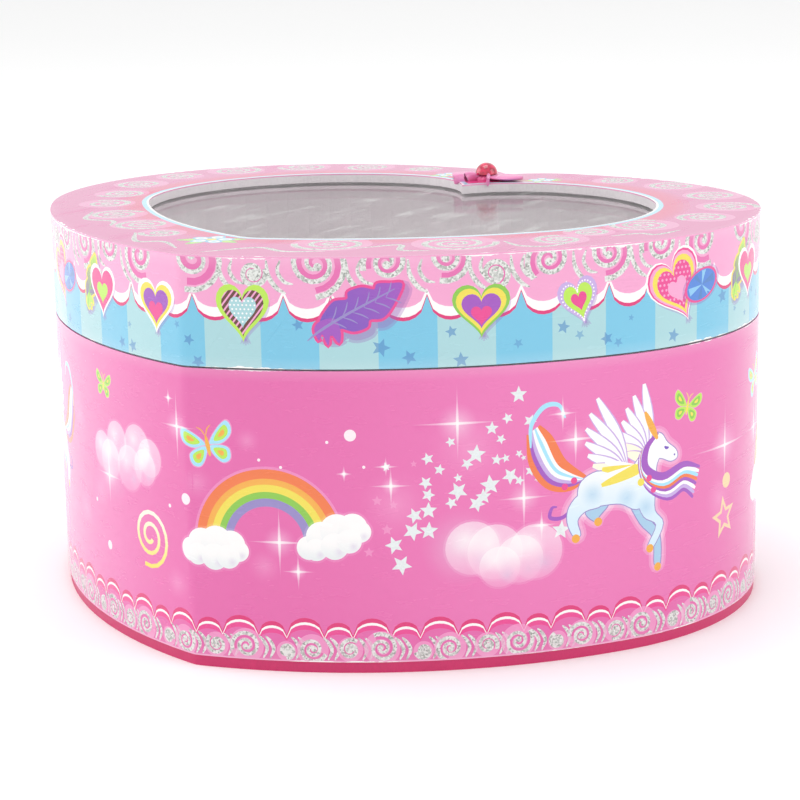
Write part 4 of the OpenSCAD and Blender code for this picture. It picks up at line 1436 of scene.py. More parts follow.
@dataclass(frozen=True)
class GemFinish(Finish):
    """Crimson resin with cells of brighter red, painted light that seems to come from inside it."""

    def material(self) -> bpy.types.Material:
        """Builds the material."""
        material, board, shader, place = self.open()
        depth = board.add("ShaderNodeTexVoronoi", {"Vector": place, "Scale": 700.0}).outputs["Distance"]
        # Painted light: the red brightens towards the cells' edges as if lit from within the gem
        colour = board.mix(board.step(depth, 0.1, 0.7), (0.25, 0.002, 0.02, 1), (0.75, 0.01, 0.09, 1))
        self.feed(board, shader, Base_Color=colour, Roughness=0.06, Coat_Weight=1.0, Coat_Roughness=0.03)
        return material


@dataclass(frozen=True)
class WoodFinish(Finish):
    """Plain softwood."""

    def material(self) -> bpy.types.Material:
        """Builds the material."""
        material, board, shader, place = self.open()
        grain = EFFECTS.place(board, Effect.GRAIN, Place=place)
        colour = board.mix(grain.outputs["Shade"], (0.42, 0.27, 0.13, 1), (0.68, 0.50, 0.28, 1))
        self.feed(board, shader, Base_Color=colour, Roughness=0.65)
        self.relief(board, shader, grain.outputs["Height"], 0.0001, 0.5)
        return material


@dataclass(frozen=True)
class FlockFinish(Finish):
    """Short velvety flock over foam."""

    ink: Ink

    def material(self) -> bpy.types.Material:
        """Builds the material."""
        material, board, shader, place = self.open()
        pile = board.noise(place, 2600.0, 3.0).outputs[0]
        strokes = board.noise(place, 120.0, 3.0).outputs[0]
        dark = toned(self.ink.linear, 0.6)
        shade = board.math("ADD", board.math("MULTIPLY", pile, 0.5), board.math("MULTIPLY", strokes, 0.6),
                           clamp=True)
        self.feed(board, shader, Base_Color=board.mix(shade, dark, self.ink.linear), Roughness=0.9,
                  Sheen_Weight=0.8, Sheen_Roughness=0.4)
        self.relief(board, shader, pile, 0.0003, 0.7)
        return material


# ---------------------------------------------------------------- printed papers


@dataclass
class WallPaper:
    """Printed paper wrapped round the heart's wall, joined at the cleft."""

    node: str
    body: str
    slot: str
    finish: PrintFinish
    rim_ink: Ink
    rows: int = 3
    margin: float = 2.0
    back_scale: float = 0.2
    column: float = 1.9
    column_up: float = 4.0
    at_end: float = 1e-3

    @property
    def heights(self) -> tuple[float, float]:
        """Heights of its lower and upper edge, in millimetres."""
        low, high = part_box(self.node)
        return low.z / MM, high.z / MM

    def draw(self) -> Artwork:
        """Draws the sheet's artwork."""
        raise NotImplementedError

    def _lay_out(self, corners: Points,
                 back_corners: Points) -> tuple[np.ndarray, np.ndarray, tuple[float, float, float, float]]:
        """Packs the sheet in rows on its bake map.

        Args:
            corners: The corners of its triangles, by their distance along and height.
            back_corners: The corners of its back's triangles.

        Returns:
            The map of its face, of its back, and the place of its rims.
        """
        low, high = self.heights
        half = BOX.half_length
        row_length, tall = 2 * half / self.rows, high - low
        back_tall = self.back_scale * tall + self.margin
        total = self.rows * (tall + self.margin) + self.rows * back_tall + 3 * self.margin
        side = max(total, row_length + 2 * self.margin)

        def in_rows(own: Points) -> tuple[np.ndarray, np.ndarray, np.ndarray]:
            """Gives each corner its row, its place along the row and its height."""
            row = np.clip(((own[:, :, 0].mean(axis=1) + half) // row_length).astype(int), 0,
                          self.rows - 1)[:, None]
            return row, own[:, :, 0] + half - row * row_length + self.margin, own[:, :, 1] - low

        row, along, up = in_rows(corners)
        face = np.stack([along, up + row * (tall + self.margin) + self.margin], axis=2) / side
        back_start = self.rows * (tall + self.margin) + self.margin
        row, along, up = in_rows(back_corners)
        back = np.stack([along, back_start + up * self.back_scale + row * back_tall], axis=2) / side
        rim = (self.margin / side, (back_start + self.rows * back_tall) / side, 0.9 * row_length / side,
               1.0 / side)
        return face, back, rim

    def build(self) -> bpy.types.Object:
        """Builds the sheet and hands it over."""
        low, high = self.heights
        half, fold = BOX.half_length, BOX.tip_arc
        art = self.draw()
        edge_count = round(2 * half / self.column)
        along = np.linspace(-half, half, edge_count + 1)
        upright = np.linspace(low, high, round((high - low) / self.column_up) + 1)
        sheet = np.vstack([
            np.stack([along, np.full(len(along), low)], axis=1),
            np.stack([np.full(len(upright) - 1, half), upright[1:]], axis=1),
            np.stack([along[::-1][1:], np.full(len(along) - 1, high)], axis=1),
            np.stack([np.full(len(upright) - 2, -half), upright[::-1][1:-1]], axis=1)])
        row_ends = [-half + 2 * half * i / self.rows for i in range(1, self.rows)]
        folds = [np.array([(x, low), (x, high)]) for x in (-fold, 0.0, fold, *row_ends)]
        span = (-half, low), (half, high)

        def keep(p: Points) -> np.ndarray:
            """Tells which points lie on the sheet."""
            return (np.abs(p[:, 0]) < half) & (p[:, 1] > low) & (p[:, 1] < high)

        cut = CutArtwork.cut(art, [sheet], folds, cover(*span, (self.column, self.column_up)), keep)
        points, triangles = self._joined(cut.points, cut.triangles, half)
        flat_back, back_triangles = cut.plain_back(folds, cover(*span, (2 * self.column, 3 * self.column_up)),
                                                   keep)
        back_corners = flat_back[back_triangles]
        back, back_triangles = self._joined(flat_back, back_triangles, half)
        corners = cut.points[cut.triangles]
        maps = self._lay_out(corners, back_corners)
        distance = np.minimum(corners[:, :, 1] - low, high - corners[:, :, 1])
        sheet_mesh = PaperMesh(
            f"{self.node}_print", in_frame(BOX.place(points[:, 0]), points[:, 1]), triangles,
            in_frame(BOX.place(back[:, 0], PAPER), back[:, 1]), back_triangles,
            partners(points, triangles, back, 2 * half), cut, *maps, self.rim_ink, distance)
        return hand_over(sheet_mesh.build(self.finish.material()), self.body, self.slot, self.node)

    def _joined(self, points: Points, triangles: np.ndarray, half: float) -> tuple[Points, np.ndarray]:
        """Joins the sheet's two ends.

        Args:
            points: Its flat points.
            triangles: Its triangles.
            half: Distance from its middle to each end.

        Returns:
            The points in use and the triangles.
        """
        number = np.arange(len(points))
        near = number[points[:, 0] < -half + self.at_end]
        for i in number[points[:, 0] > half - self.at_end]:
            number[i] = near[np.argmin(np.abs(points[near, 1] - points[i, 1]))]
        used, joined = np.unique(number[triangles], return_inverse=True)
        return points[used], joined.reshape(-1, 3)


def partners(points: Points, triangles: np.ndarray, back: Points, turn: float = math.inf) -> np.ndarray:
    """Finds the back's point behind each point of a sheet's rim.

    Args:
        points: The sheet's flat points.
        triangles: Its triangles.
        back: The flat points of its back.
        turn: Distance along after which the sheet comes round to its start.

    Returns:
        For each point of the sheet the number of its partner, or 0 away from the rim.
    """
    found = np.zeros(len(points), int)
    for i in np.unique(open_edges(triangles)):
        gap = np.abs(back - points[i])
        gap[:, 0] = np.minimum(gap[:, 0], np.abs(turn - gap[:, 0]))
        found[i] = np.argmin(gap.sum(axis=1))
    return found


def even_cusps(period: float, phase: float = 0.0, uneven: float = 0.0) -> Points:
    """Places of a border's cusps round the whole sheet.

    Args:
        period: Wanted distance between two cusps.
        phase: Place of one of them.
        uneven: How far every other cusp is shifted, as a share of the distance.

    Returns:
        The places, from beyond the near end to beyond the far end.
    """
    count = 2 * round(BOX.half_length / period)
    step = 2 * BOX.half_length / count
    index = np.arange(-count // 2 - 2, count // 2 + 3)
    return phase + step * (index + uneven * np.where(index % 2 == 0, 1, 0))


@dataclass
class BodyPaper(WallPaper):
    """The body's print: stars, clouds, a rainbow and winged unicorns on pink, with a scalloped border."""

    def draw(self) -> Artwork:
        """Draws the artwork. Places are distances from the tip and heights, in millimetres."""
        art = Artwork(self._ground_with_painted_shade)
        self._border(art)
        for x, y, reach in ((-50, 48, 5), (-48, 26, 5), (2, 42, 4), (14, 52, 3), (46, 38, 8), (62, 50, 9),
                            (-5, 18, 4), (17, 24, 4), (-37, 33, 5), (92, 52, 5), (128, 30, 6)):
            art.haze(x, y, reach, Ink.BLUSH, 0.55)
        self._rainbow(art, 18, 29.5)
        self._stars(art, 0)
        self._clouds(art)
        art.unicorn(Spot(97, 36))
        art.unicorn(Spot(-77, 36, mirror=True))
        art.butterfly(Spot(5, 50.5, 1.0, 12), Ink.SKY, Ink.LIME, Ink.AMBER)
        art.butterfly(Spot(-33, 58.5, 0.62, -4), Ink.LIME, Ink.GREEN, Ink.YELLOW)
        art.butterfly(Spot(115.5, 53.5, 0.72, -14), Ink.LIME, Ink.GREEN, Ink.YELLOW)
        self._curl(art, -14.5, 27)
        self._glints(art)
        self._back(art)
        return art

    @staticmethod
    def _ground_with_painted_shade(p: Points) -> np.ndarray:
        """Pink that darkens to rose round a point just right of the tip and lightens towards the lobes, in a
        wave of 140 mm: the darker rose is painted shade of the faces turned from the side lights.
        """
        # Painted shade: the ground turns to the darker rose where the faces turn away from the side lights
        shade_wave = 0.5 + 0.5 * np.cos((p[:, 0] - 14) * math.pi / 70)
        share = (0.25 + 0.75 * shade_wave)[:, None]
        colour = Ink.PINK.display * (1 - share) + Ink.ROSE.display * share
        return np.hstack([colour, np.ones((len(p), 1))])

    def _border(self, art: Artwork) -> None:
        """Draws the swirls and scallops along the foot."""
        low, _ = self.heights
        cusps = even_cusps(7.3, -0.5, 0.14)
        art.scallops(low, 8.6, [(0.0, Ink.MAGENTA), (1.0, Ink.WHITE), (1.6, Ink.HOT_PINK), (2.7, Ink.ROSE)],
                     cusps,
                     3.8, True)
        radii = (3.5, 1.8, 3.1, 2.4)
        place, i = -BOX.half_length + 5, 0
        while place < BOX.half_length - 5:
            radius = radii[i % len(radii)]
            hand = 1 if i % 2 else -1
            height = low + 0.55 + radius if i % 2 else low + 0.2 + 0.85 * radius
            art.swirl(place, height, radius, 1.9, hand, 200 + 70 * i, width=0.9, ghost=1.0)
            for lean in (0.0, 1.5):
                gap = place + radius + 0.3 + lean
                art.taper([(gap, low + 0.5), (gap + 0.9, low + 2.6), (gap + 0.2, low + 4.4),
                           (gap - 0.9, low + 5.6)],
                          0.85, flat(Ink.SILVER), foil=1.0)
            place += 1.9 * radius + 2.4
            i += 1
        edge = np.array([(-BOX.half_length, low), (BOX.half_length, low), (BOX.half_length, low + 0.35),
                         (-BOX.half_length, low + 0.35)])
        art.add(edge, flat(Ink.BLUSH))

    @staticmethod
    def _rainbow(art: Artwork, x: float, y: float) -> None:
        """Draws a rainbow between two clouds."""
        art.rainbow(x, y, 16.3)
        puffs = [(-5.2, -1.5, 2.7), (-2.4, 0.2, 3.4), (1.0, 0.6, 3.7), (4.4, 0.2, 3.2), (6.0, -1.2, 2.4),
                 (-3.6, -2.4, 2.5), (0.4, -2.8, 3.0), (3.6, -2.6, 2.7)]
        art.cloud(x - 12.8, y - 1.2, puffs)
        art.cloud(x + 14.2, y + 2.0, [(px, py + 0.3 * px, r) for px, py, r in puffs])

    @staticmethod
    def _stars(art: Artwork, shift: float) -> None:
        """Draws the cluster of silver stars.

        Args:
            art: The artwork.
            shift: How far it is moved along the sheet.
        """
        cluster = [(73, 61, 1.5), (70.5, 56, 1.0), (75.5, 55, 1.2), (67, 54, 1.2), (58, 51.5, 0.9),
                   (69, 51.5, 0.9),
                   (63.5, 48.5, 1.7), (53, 48, 1.1), (61.5, 46.5, 1.1), (68, 47, 1.0), (70, 47.2, 0.8),
                   (73, 48, 0.7),
                   (55.5, 45.5, 1.0), (44, 46.5, 0.8), (71, 43.2, 1.5), (75.5, 44, 1.0), (59.5, 43.5, 0.8),
                   (52.5, 42.7, 1.2), (73, 42, 0.9), (66.5, 41.5, 1.8), (59.5, 40.5, 1.7), (53, 40, 1.2),
                   (65, 39, 1.4), (58, 38, 1.1), (63.5, 37.5, 1.5), (53, 36.5, 1.5), (50, 35.5, 1.4),
                   (49.5, 32, 1.7),
                   (53, 32, 1.6), (45.5, 29, 1.6), (47, 24.5, 1.8), (82.5, 30, 1.7), (74, 47, 0.5),
                   (77, 42, 0.5)]
        for i, (x, y, radius) in enumerate(cluster):
            art.star(x + shift, y, 1.3 * radius, Ink.CLOUD, turn=23 * i % 72, foil=0.12)
        for x, y, radius in ((42, 39, 1.2), (45.5, 38, 1.0), (44, 32.5, 1.3), (40, 27.5, 1.2), (50, 47, 0.8)):
            art.star(x + shift, y, radius, Ink.BLUSH, 0.55)

    @staticmethod
    def _clouds(art: Artwork) -> None:
        """Draws the two see-through clouds."""
        art.haze(-31, 40, 9, Ink.CLOUD, 0.5)
        art.cloud(-23, 44, [(-12, -1, 4.4), (-4.5, 2.4, 4.6), (-8, -2.5, 4.6), (1.0, -2.8, 5.2),
                            (4.5, 2.6, 5.2),
                            (9.5, 1.0, 4.4), (7.5, -1.5, 4.2)], 0.8)
        art.haze(60, 28, 9, Ink.CLOUD, 0.5)
        art.cloud(70, 26, [(-7.5, 1.6, 6.0), (-2.5, 0.4, 6.2), (3.0, -1.6, 5.4), (6.6, -0.2, 6.2),
                           (-1.5, -3.0, 4.6)], 0.85)

    @staticmethod
    def _curl(art: Artwork, x: float, y: float) -> None:
        """Draws the white and yellow spiral line."""
        paint = fade(Ink.CREAM, Ink.YELLOW, (x, y + 4), (x, y - 8))
        art.stroke(spiral(7.4, 1.2, 2.2, 1, 250) + (x, y), 0.95, paint)

    @staticmethod
    def _glints(art: Artwork) -> None:
        """Draws the dots and four-armed glints."""
        for x, y, across, up in ((-3, 54, 6.5, 9), (-5.5, 60, 2, 2.4), (-32, 37.5, 7, 8.5),
                                 (20.5, 29.5, 8, 9),
                                 (24.5, 23, 4, 4.6), (59.5, 55.5, 11, 9), (45, 42.2, 5, 5), (74, 38, 7, 9),
                                 (44, 46.5, 3, 2.4), (78, 31.5, 4, 4), (83, 56, 4, 4.5), (86, 50, 8, 7),
                                 (130, 42, 14, 11), (35, 45, 2, 2)):
            art.sparkle(x, y, across, up)
        for x, y, radius in ((-1, 38, 1.3), (-33.5, 20.5, 1.1), (36.5, 53.5, 1.3), (31.5, 52, 0.35),
                             (16.5, 47.8, 0.35),
                             (21.3, 46.3, 0.35), (39.3, 46.5, 0.35), (-6.5, 35.5, 0.45), (-40, 30, 0.5)):
            art.disc(x, y, radius, Ink.WHITE, 0.9)
        art.add(Spot(130, 25, turn=8).put(star(5.2)), flat(Ink.GOLD, 0.95))
        art.add(Spot(130, 25, turn=8).put(star(3.2)), flat(Ink.PINK))
        art.disc(131, 33.5, 1.8, Ink.GOLD)

    def _back(self, art: Artwork) -> None:
        """Repeats the motifs round the back of the box."""
        self._rainbow(art, 168, 29.5)
        self._rainbow(art, -168, 29.5)
        self._stars(art, -180)
        self._stars(art, 140)
        art.unicorn(Spot(236, 36))
        art.unicorn(Spot(-226, 36, mirror=True))
        art.butterfly(Spot(150, 54, 0.9, 15), Ink.SKY, Ink.LIME, Ink.AMBER)
        art.butterfly(Spot(-186, 54, 0.9, -15), Ink.SKY, Ink.LIME, Ink.AMBER)
        art.butterfly(Spot(-146, 55, 0.7, 10), Ink.LIME, Ink.GREEN, Ink.YELLOW)
        for x, y, across, up in ((150, 42, 8, 9), (-140, 44, 9, 8), (-200, 30, 7, 7), (188, 56, 7, 7),
                                 (-250, 54, 6, 6), (252, 22, 6, 6), (-104, 56, 6, 6)):
            art.sparkle(x, y, across, up)


@dataclass
class LidPaper(WallPaper):
    """The lid band's print: glitter swirls over aqua stripes, with a row of hearts and feathers."""

    rows: int = 5
    stripes: int = 42
    first_stripe: float = 5.3
    stripe_top: float = 84.0
    swirl_period: float = 134.0
    badge_period: float = 173.0
    end_room: float = 14.0

    @property
    def stripe_w(self) -> float:
        """Width of one stripe."""
        return 2 * BOX.half_length / self.stripes

    def draw(self) -> Artwork:
        """Draws the artwork. Places are distances from the tip and heights, in millimetres."""
        _, high = self.heights
        art = Artwork(self._stripes)
        self._swirls(art, high)
        for x, y, radius in ((-22.5, 70, 1.5), (-18, 69.8, 1.7), (-19, 74.5, 0.9), (-54, 70.5, 1.5),
                             (-1.5, 76.8, 1.0),
                             (1.5, 73.7, 1.4), (3.5, 69, 1.6), (26, 77.5, 1.4), (43.5, 72.5, 2.1),
                             (49.5, 70.3, 1.7),
                             (58.5, 75.5, 1.4), (60.5, 69.3, 1.8), (73, 72.2, 1.2), (83.2, 75, 1.6),
                             (87, 73, 1.2),
                             (93.5, 71.6, 1.6), (96.3, 70.5, 1.2), (99.5, 75.6, 0.8), (111, 70.3, 1.7),
                             (128, 76.8, 1.9), (134, 73, 0.9)):
            art.star(x, y, radius, Ink.STAR_BLUE, 0.55 if radius > 1.3 else 0.4, turn=31 * x % 72)
        self._rest_of_stars(art)
        for turn in (-1, 0, 1):
            self._badges(art, self.badge_period * turn)
        return art

    def _stripes(self, p: Points) -> np.ndarray:
        """Stripes of two aquas."""
        odd = np.floor((p[:, 0] - self.first_stripe) / self.stripe_w + ON_END).astype(int) % 2 == 0
        colour = np.where(odd[:, None], Ink.PALE_AQUA.display, Ink.AQUA.display)
        return np.hstack([colour, np.ones((len(p), 1))])

    def _swirls(self, art: Artwork, high: float) -> None:
        """Draws the stripes' edges, the pink zone with its scalloped edge and its glitter swirls."""
        low, _ = self.heights
        half, width = BOX.half_length, self.stripe_w
        for i in range(-self.stripes // 2, self.stripes // 2):
            start = self.first_stripe + width * i
            if start > half - width:
                start -= 2 * half
            ink = Ink.PALE_AQUA if i % 2 == 0 else Ink.AQUA
            ends = (max(start, -half), min(start + width, half))
            top = self.stripe_top
            art.add(np.array([(ends[0], low), (ends[1], low), (ends[1], top), (ends[0], top)]), flat(ink))
        cusps = even_cusps(9.955, 2.7)
        art.scallops(high, 83.4, [(0.0, Ink.MAGENTA), (0.8, Ink.WHITE), (2.9, Ink.BLUSH)], cusps, 4.2, False)
        spirals = [(-14, 90.6, 6.4, 1.9, -1, 300), (3.5, 91.4, 7.2, 1.7, 1, 250),
                   (16.5, 88.4, 3.0, 2.0, -1, 20),
                   (30, 90.6, 7.2, 2.1, 1, 270), (45, 90.8, 5.2, 1.8, -1, 200), (58, 91.6, 5.4, 1.9, 1, 250),
                   (68, 87.6, 3.2, 2.0, 1, 300), (80, 90, 5.4, 1.9, -1, 230), (94, 90.5, 6.0, 2.0, 1, 260),
                   (107, 91.2, 5.2, 2.0, -1, 200)]
        for turn in (-1, 0, 1):
            for x, y, radius, turns, hand, start in spirals:
                place = x + self.swirl_period * turn
                if abs(place) < half - radius - 0.5:
                    art.swirl(place, y, radius, turns, hand, start, width=1.2, ghost=0.9)
            for x in (10.5, 21, 38, 51, 64, 73, 87, 101, 114):
                place = x + self.swirl_period * turn
                if abs(place) < half - self.end_room:
                    for thick, lock in (
                            (1.1, ((-1.5, high - 0.4), (-1.1, 88), (0.6, 85.4), (2.6, 84.2))),
                            (0.9, ((1.5, high - 0.4), (0.9, 89), (2.2, 86.8), (4.2, 86.2)))):
                        art.taper([(place + dx, y) for dx, y in lock], thick, flat(Ink.SILVER), foil=1.0)

    @staticmethod
    def _rest_of_stars(art: Artwork) -> None:
        """Scatters blue stars over the rest of the stripes."""
        for i in range(24):
            for side in (1, -1):
                x = side * (140 + 5.1 * i)
                art.star(x, 71 + (i * 5 % 7) * 0.9, 0.9 + 0.25 * (i % 4), Ink.STAR_BLUE, 0.5, turn=17 * i)

    def _badges(self, art: Artwork, shift: float) -> None:
        """Draws the row of hearts and feathers once.

        Args:
            art: The artwork.
            shift: How far the row is moved along the sheet.
        """

        def fits(x: float) -> bool:
            """Tells whether a motif stands clear of the sheet's ends."""
            return abs(x + shift) < BOX.half_length - self.end_room

        if fits(-53):
            self._blue_gem(art, -53 + shift, 80.5)
        if fits(-31):
            art.heart_badge(Spot(-31 + shift, 80.2), 12.6, 12, [(0, Ink.WHITE), (0.9, Ink.HOT_PINK)])
            art.add(heart(5.4, 4.8) + (-31 + shift, 79.8), flat(Ink.LIME))
        if fits(-8.5):
            art.heart_badge(Spot(-8.5 + shift, 79.8), 13, 12,
                            [(0, Ink.WHITE), (0.9, Ink.YELLOW), (2.1, Ink.PURPLE)])
            art.add(heart(5.0, 4.6) + (-8.5 + shift, 78.6), flat(Ink.HOT_PINK))
        if fits(14):
            self._striped_heart(art, Spot(14 + shift, 79.8))
        if fits(38.5):
            art.feather(Spot(38.5 + shift, 80.5, 0.98, 24), Ink.PURPLE, Ink.RAINBOW_BLUE, Ink.HOT_PINK)
        if fits(65):
            art.heart_badge(Spot(65 + shift, 79.6), 12.6, 11.6,
                            [(0, Ink.GREEN), (0.8, Ink.YELLOW), (2.0, Ink.PURPLE)])
            art.add(heart(4.6, 4.2) + (65 + shift, 78.6), flat(Ink.HOT_PINK))
        if fits(87):
            self._stitched_heart(art, Spot(87 + shift, 80.2, turn=14))
        if fits(112):
            self._dotted_heart(art, Spot(112.3 + shift, 80.6, turn=24))
        if fits(135):
            art.feather(Spot(136 + shift, 81.5, 0.62, 60), Ink.LIME, Ink.GREEN, Ink.YELLOW)

    @staticmethod
    def _blue_gem(art: Artwork, x: float, y: float) -> None:
        """Draws an oval blue jewel in a pink mount."""
        for grown, ink, alpha in ((6.6, Ink.SHADOW, 0.3), (5.8, Ink.HOT_PINK, 1.0), (5.1, Ink.GEM_BLUE, 1.0)):
            art.add(Spot(x, y, turn=18).put(circle(grown, 28) * (1.0, 0.62)), flat(ink, alpha))
        for i in range(6):
            facet = [(0, 0), (4.4, -0.9), (4.4, 0.9)]
            ink = Ink.SKY if i % 2 else Ink.STAR_BLUE
            art.add(Spot(x, y, turn=60 * i + 18).put(facet), flat(ink, 0.7),
                    within=Spot(x, y, turn=18).put(circle(4.8, 28) * (1.0, 0.6)))

    @staticmethod
    def _striped_heart(art: Artwork, spot: Spot) -> None:
        """Draws the heart with a brown and pink striped band."""
        ring = art.heart_badge(spot, 11.8, 12.6, [(0, Ink.LIME), (1.2, Ink.BLUSH)])
        for i in range(-8, 9):
            bar = Spot(spot.x + 1.3 * i, spot.y,
                       turn=-38).put([(-0.32, -12), (0.32, -12), (0.32, 12), (-0.32, 12)])
            art.add(bar, flat(Ink.BROWN), within=ring)
        own = heart(11.8, 12.6) * (0.52, 0.54)
        middle = spot.put(own + (0, 0.2))
        art.add(middle, flat(Ink.PALE_AQUA))
        for i in range(-3, 4):
            for j in range(-3, 4):
                dot = circle(0.22, 8) + (spot.x + 0.9 * i + 0.45 * (j % 2), spot.y + 0.9 * j)
                art.add(dot, flat(Ink.WHITE), within=middle)

    @staticmethod
    def _stitched_heart(art: Artwork, spot: Spot) -> None:
        """Draws the small tilted heart with stitches."""
        art.heart_badge(spot, 9.4, 10.4, [(0, Ink.LILAC), (1.3, Ink.LIME), (1.9, Ink.LIME)])
        stitch = heart(9.4, 10.4, 44) * (0.82, 0.82)
        for place in stitch:
            art.add(spot.put(circle(0.2, 8) + place), flat(Ink.WHITE))
        art.add(spot.put(heart(9.4, 10.4) * (0.40, 0.40)), flat(Ink.HOT_PINK))

    @staticmethod
    def _dotted_heart(art: Artwork, spot: Spot) -> None:
        """Draws the big tilted heart with polka dots."""
        band = art.heart_badge(spot, 15.8, 16.6, [(0, Ink.WHITE), (0.45, Ink.HOT_PINK), (0.9, Ink.BLUSH),
                                                   (1.6, Ink.YELLOW), (2.7, Ink.HOT_PINK)])
        for i in range(-6, 7):
            for j in range(-6, 7):
                dot = circle(0.3, 8) + (spot.x + 1.15 * i + 0.57 * (j % 2), spot.y + 1.15 * j)
                art.add(dot, flat(Ink.BLUSH), within=band)
        art.add(spot.put(heart(15.8, 16.6) * (0.36, 0.36) + (0, -0.6)), flat(Ink.BLUSH))


@dataclass
class TopPaper:
    """The printed sheet on the lid, with its heart-shaped window."""

    node: str = "lid_sheet"
    border: float = 1.7
    rim: float = 19.0
    back_scale: float = 0.18
    back_at: tuple[float, float] = (22.0, 22.0)
    rim_map: tuple[float, float, float, float] = (0.72, 0.015, 0.26, 0.006)
    finish: PrintFinish = PrintFinish("Top print", chip_reach=0.8)

    @property
    def window(self) -> HeartOutline:
        """The window's outline."""
        shift = BOX.lobe_r - self.rim - WINDOW.lobe_r
        return HeartOutline(WINDOW.lobe_x, WINDOW.lobe_r, 0, WINDOW.flank_r, WINDOW.tip_reach + shift,
                            WINDOW.tip_r,
                            WINDOW.crown_r, shift)

    def draw(self) -> Artwork:
        """Draws the artwork. Places are x and y in the heart's own millimetres."""
        art = Artwork(flat(Ink.RIM_PINK))
        window = self.window
        for grown, alpha in ((8.0, 0.3), (6.5, 0.5), (5.0, 0.6), (3.6, 0.8)):
            art.add(window.loop(2.5, -grown), flat(Ink.MAGENTA, alpha))
        for x, y, radius, turns, hand, start in (
                (22, -63.5, 7.4, 2.2, 1, 200), (46, -51, 8.0, 2.4, -1, 40), (64, -37, 5.2, 2.0, 1, 120),
                (65, -25, 4.6, 1.8, -1, 200), (71, -11, 7.0, 2.4, 1, 90), (79, 6, 5.6, 2.0, -1, 250),
                (77, 24, 6.2, 2.2, 1, 10), (66, 40, 6.0, 2.2, -1, 300), (50, 52, 6.2, 2.2, 1, 60),
                (32, 55, 4.6, 2.0, -1, 150), (-34, -57, 6.4, 2.2, -1, 330), (-22, -66, 4.4, 1.8, 1, 200),
                (-50, -47, 6.0, 2.2, 1, 60), (-64, -33, 5.6, 2.0, -1, 150), (-72, -17, 5.6, 2.2, 1, 240),
                (-79, 0, 5.8, 2.2, -1, 330), (-79, 17, 5.2, 2.0, 1, 60), (-72, 33, 6.4, 2.2, -1, 120),
                (-59, 47, 6.0, 2.2, 1, 210), (-42, 54, 5.6, 2.2, -1, 300), (-26, 56, 4.0, 2.0, 1, 30)):
            art.swirl(x, y, 1.12 * radius, turns, hand, start, width=1.5, ghost=0.8)
        for points in ([(2, -84), (10, -74), (18, -76), (26, -72)],
                       [(30, -66), (36, -58), (40, -64), (46, -62)],
                       [(54, -44), (60, -48), (66, -46), (68, -38)],
                       [(72, -28), (76, -22), (80, -22), (82, -14)],
                       [(-6, -82), (-14, -76), (-20, -78), (-28, -68)],
                       [(-40, -62), (-44, -56), (-52, -56), (-58, -46)]):
            art.taper(points, 1.5, flat(Ink.SILVER), foil=1.0)
        art.add(window.loop(1.6, -self.border), flat(Ink.SKY))
        art.add(window.loop(1.6, -0.55), flat(Ink.WHITE))
        self._flower(art, Spot(-6, -69, 1.0, 10))
        for x, y in ((14, 49), (-14, 49)):
            self._flower(art, Spot(x, y, 0.7, 30))
        return art

    @staticmethod
    def _flower(art: Artwork, spot: Spot) -> None:
        """Draws a blue and white flower with leaves, its own width 12."""
        for turn in (200, 250, 340, 15):
            leaf = curve([(1.5, 0), (4.5, 1.5), (8, 0), (4.5, -1.5)], 4, closed=True)[::-1]
            own = Spot(0, 0, turn=turn).put(leaf)
            art.add(spot.put(own), flat(Ink.GREEN))
            art.add(spot.put(own.mean(0) + 0.6 * (own - own.mean(0))), flat(Ink.LIME))
        for i in range(5):
            own = Spot(0, 0, turn=72 * i + 18).put(curve([(0.6, 0), (2.4, 1.9), (4.6, 1.3), (5.2, 0),
                                                          (4.6, -1.3),
                                                          (2.4, -1.9)], 4, closed=True)[::-1])
            art.add(spot.put(own), flat(Ink.AQUA))
            art.add(spot.put(own.mean(0) + 0.68 * (own - own.mean(0))), flat(Ink.WHITE))
            art.add(spot.put(own.mean(0) + 0.34 * (own - own.mean(0))), flat(Ink.SKY))
        art.disc(spot.x, spot.y, 1.2 * spot.scale, Ink.YELLOW)

    def build(self) -> bpy.types.Object:
        """Builds the sheet and hands it over."""
        low, high = (corner.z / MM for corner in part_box(self.node))
        outer_loop, window_loop = BOX.loop(1.5), self.window.loop(1.2)
        reach = BOX.lobe_x + BOX.lobe_r
        grid = cover((-reach, -BOX.tip_reach), (reach, BOX.lobe_r), (3.5, 3.5))
        grid = grid[within_shape(grid, swell(outer_loop, -0.5)) & ~within_shape(grid,
                                                                                swell(window_loop, 0.5))]

        def keep(p: Points) -> np.ndarray:
            """Tells which points lie on the sheet."""
            return within_shape(p, outer_loop) & ~within_shape(p, window_loop)

        cut = CutArtwork.cut(self.draw(), [outer_loop, window_loop], [], grid, keep)
        back, back_triangles = cut.plain_back([], grid[::4], keep)
        side = 2 * reach + 8
        face_map = (cut.points[cut.triangles] + (reach + 4, BOX.tip_reach + 12)) / side
        back_map = (back[back_triangles] * self.back_scale + self.back_at) / side
        distance = self._edge_distance(cut.points)[cut.triangles]
        sheet = PaperMesh("lid_top_print", in_frame(cut.points, high), cut.triangles, in_frame(back, low),
                          back_triangles, partners(cut.points, cut.triangles, back), cut, face_map, back_map,
                          self.rim_map, Ink.BLUSH, distance)
        return hand_over(sheet.build(self.finish.material()), "lid", "printed_top", self.node)

    @staticmethod
    def _edge_distance(points: Points) -> np.ndarray:
        """Distance of each point from the sheet's outer edge, in millimetres."""
        edge = BOX.loop(1.0)
        return np.array([np.sqrt(((edge - p) ** 2).sum(axis=1).min()) for p in points])


# ---------------------------------------------------------------- solid pieces


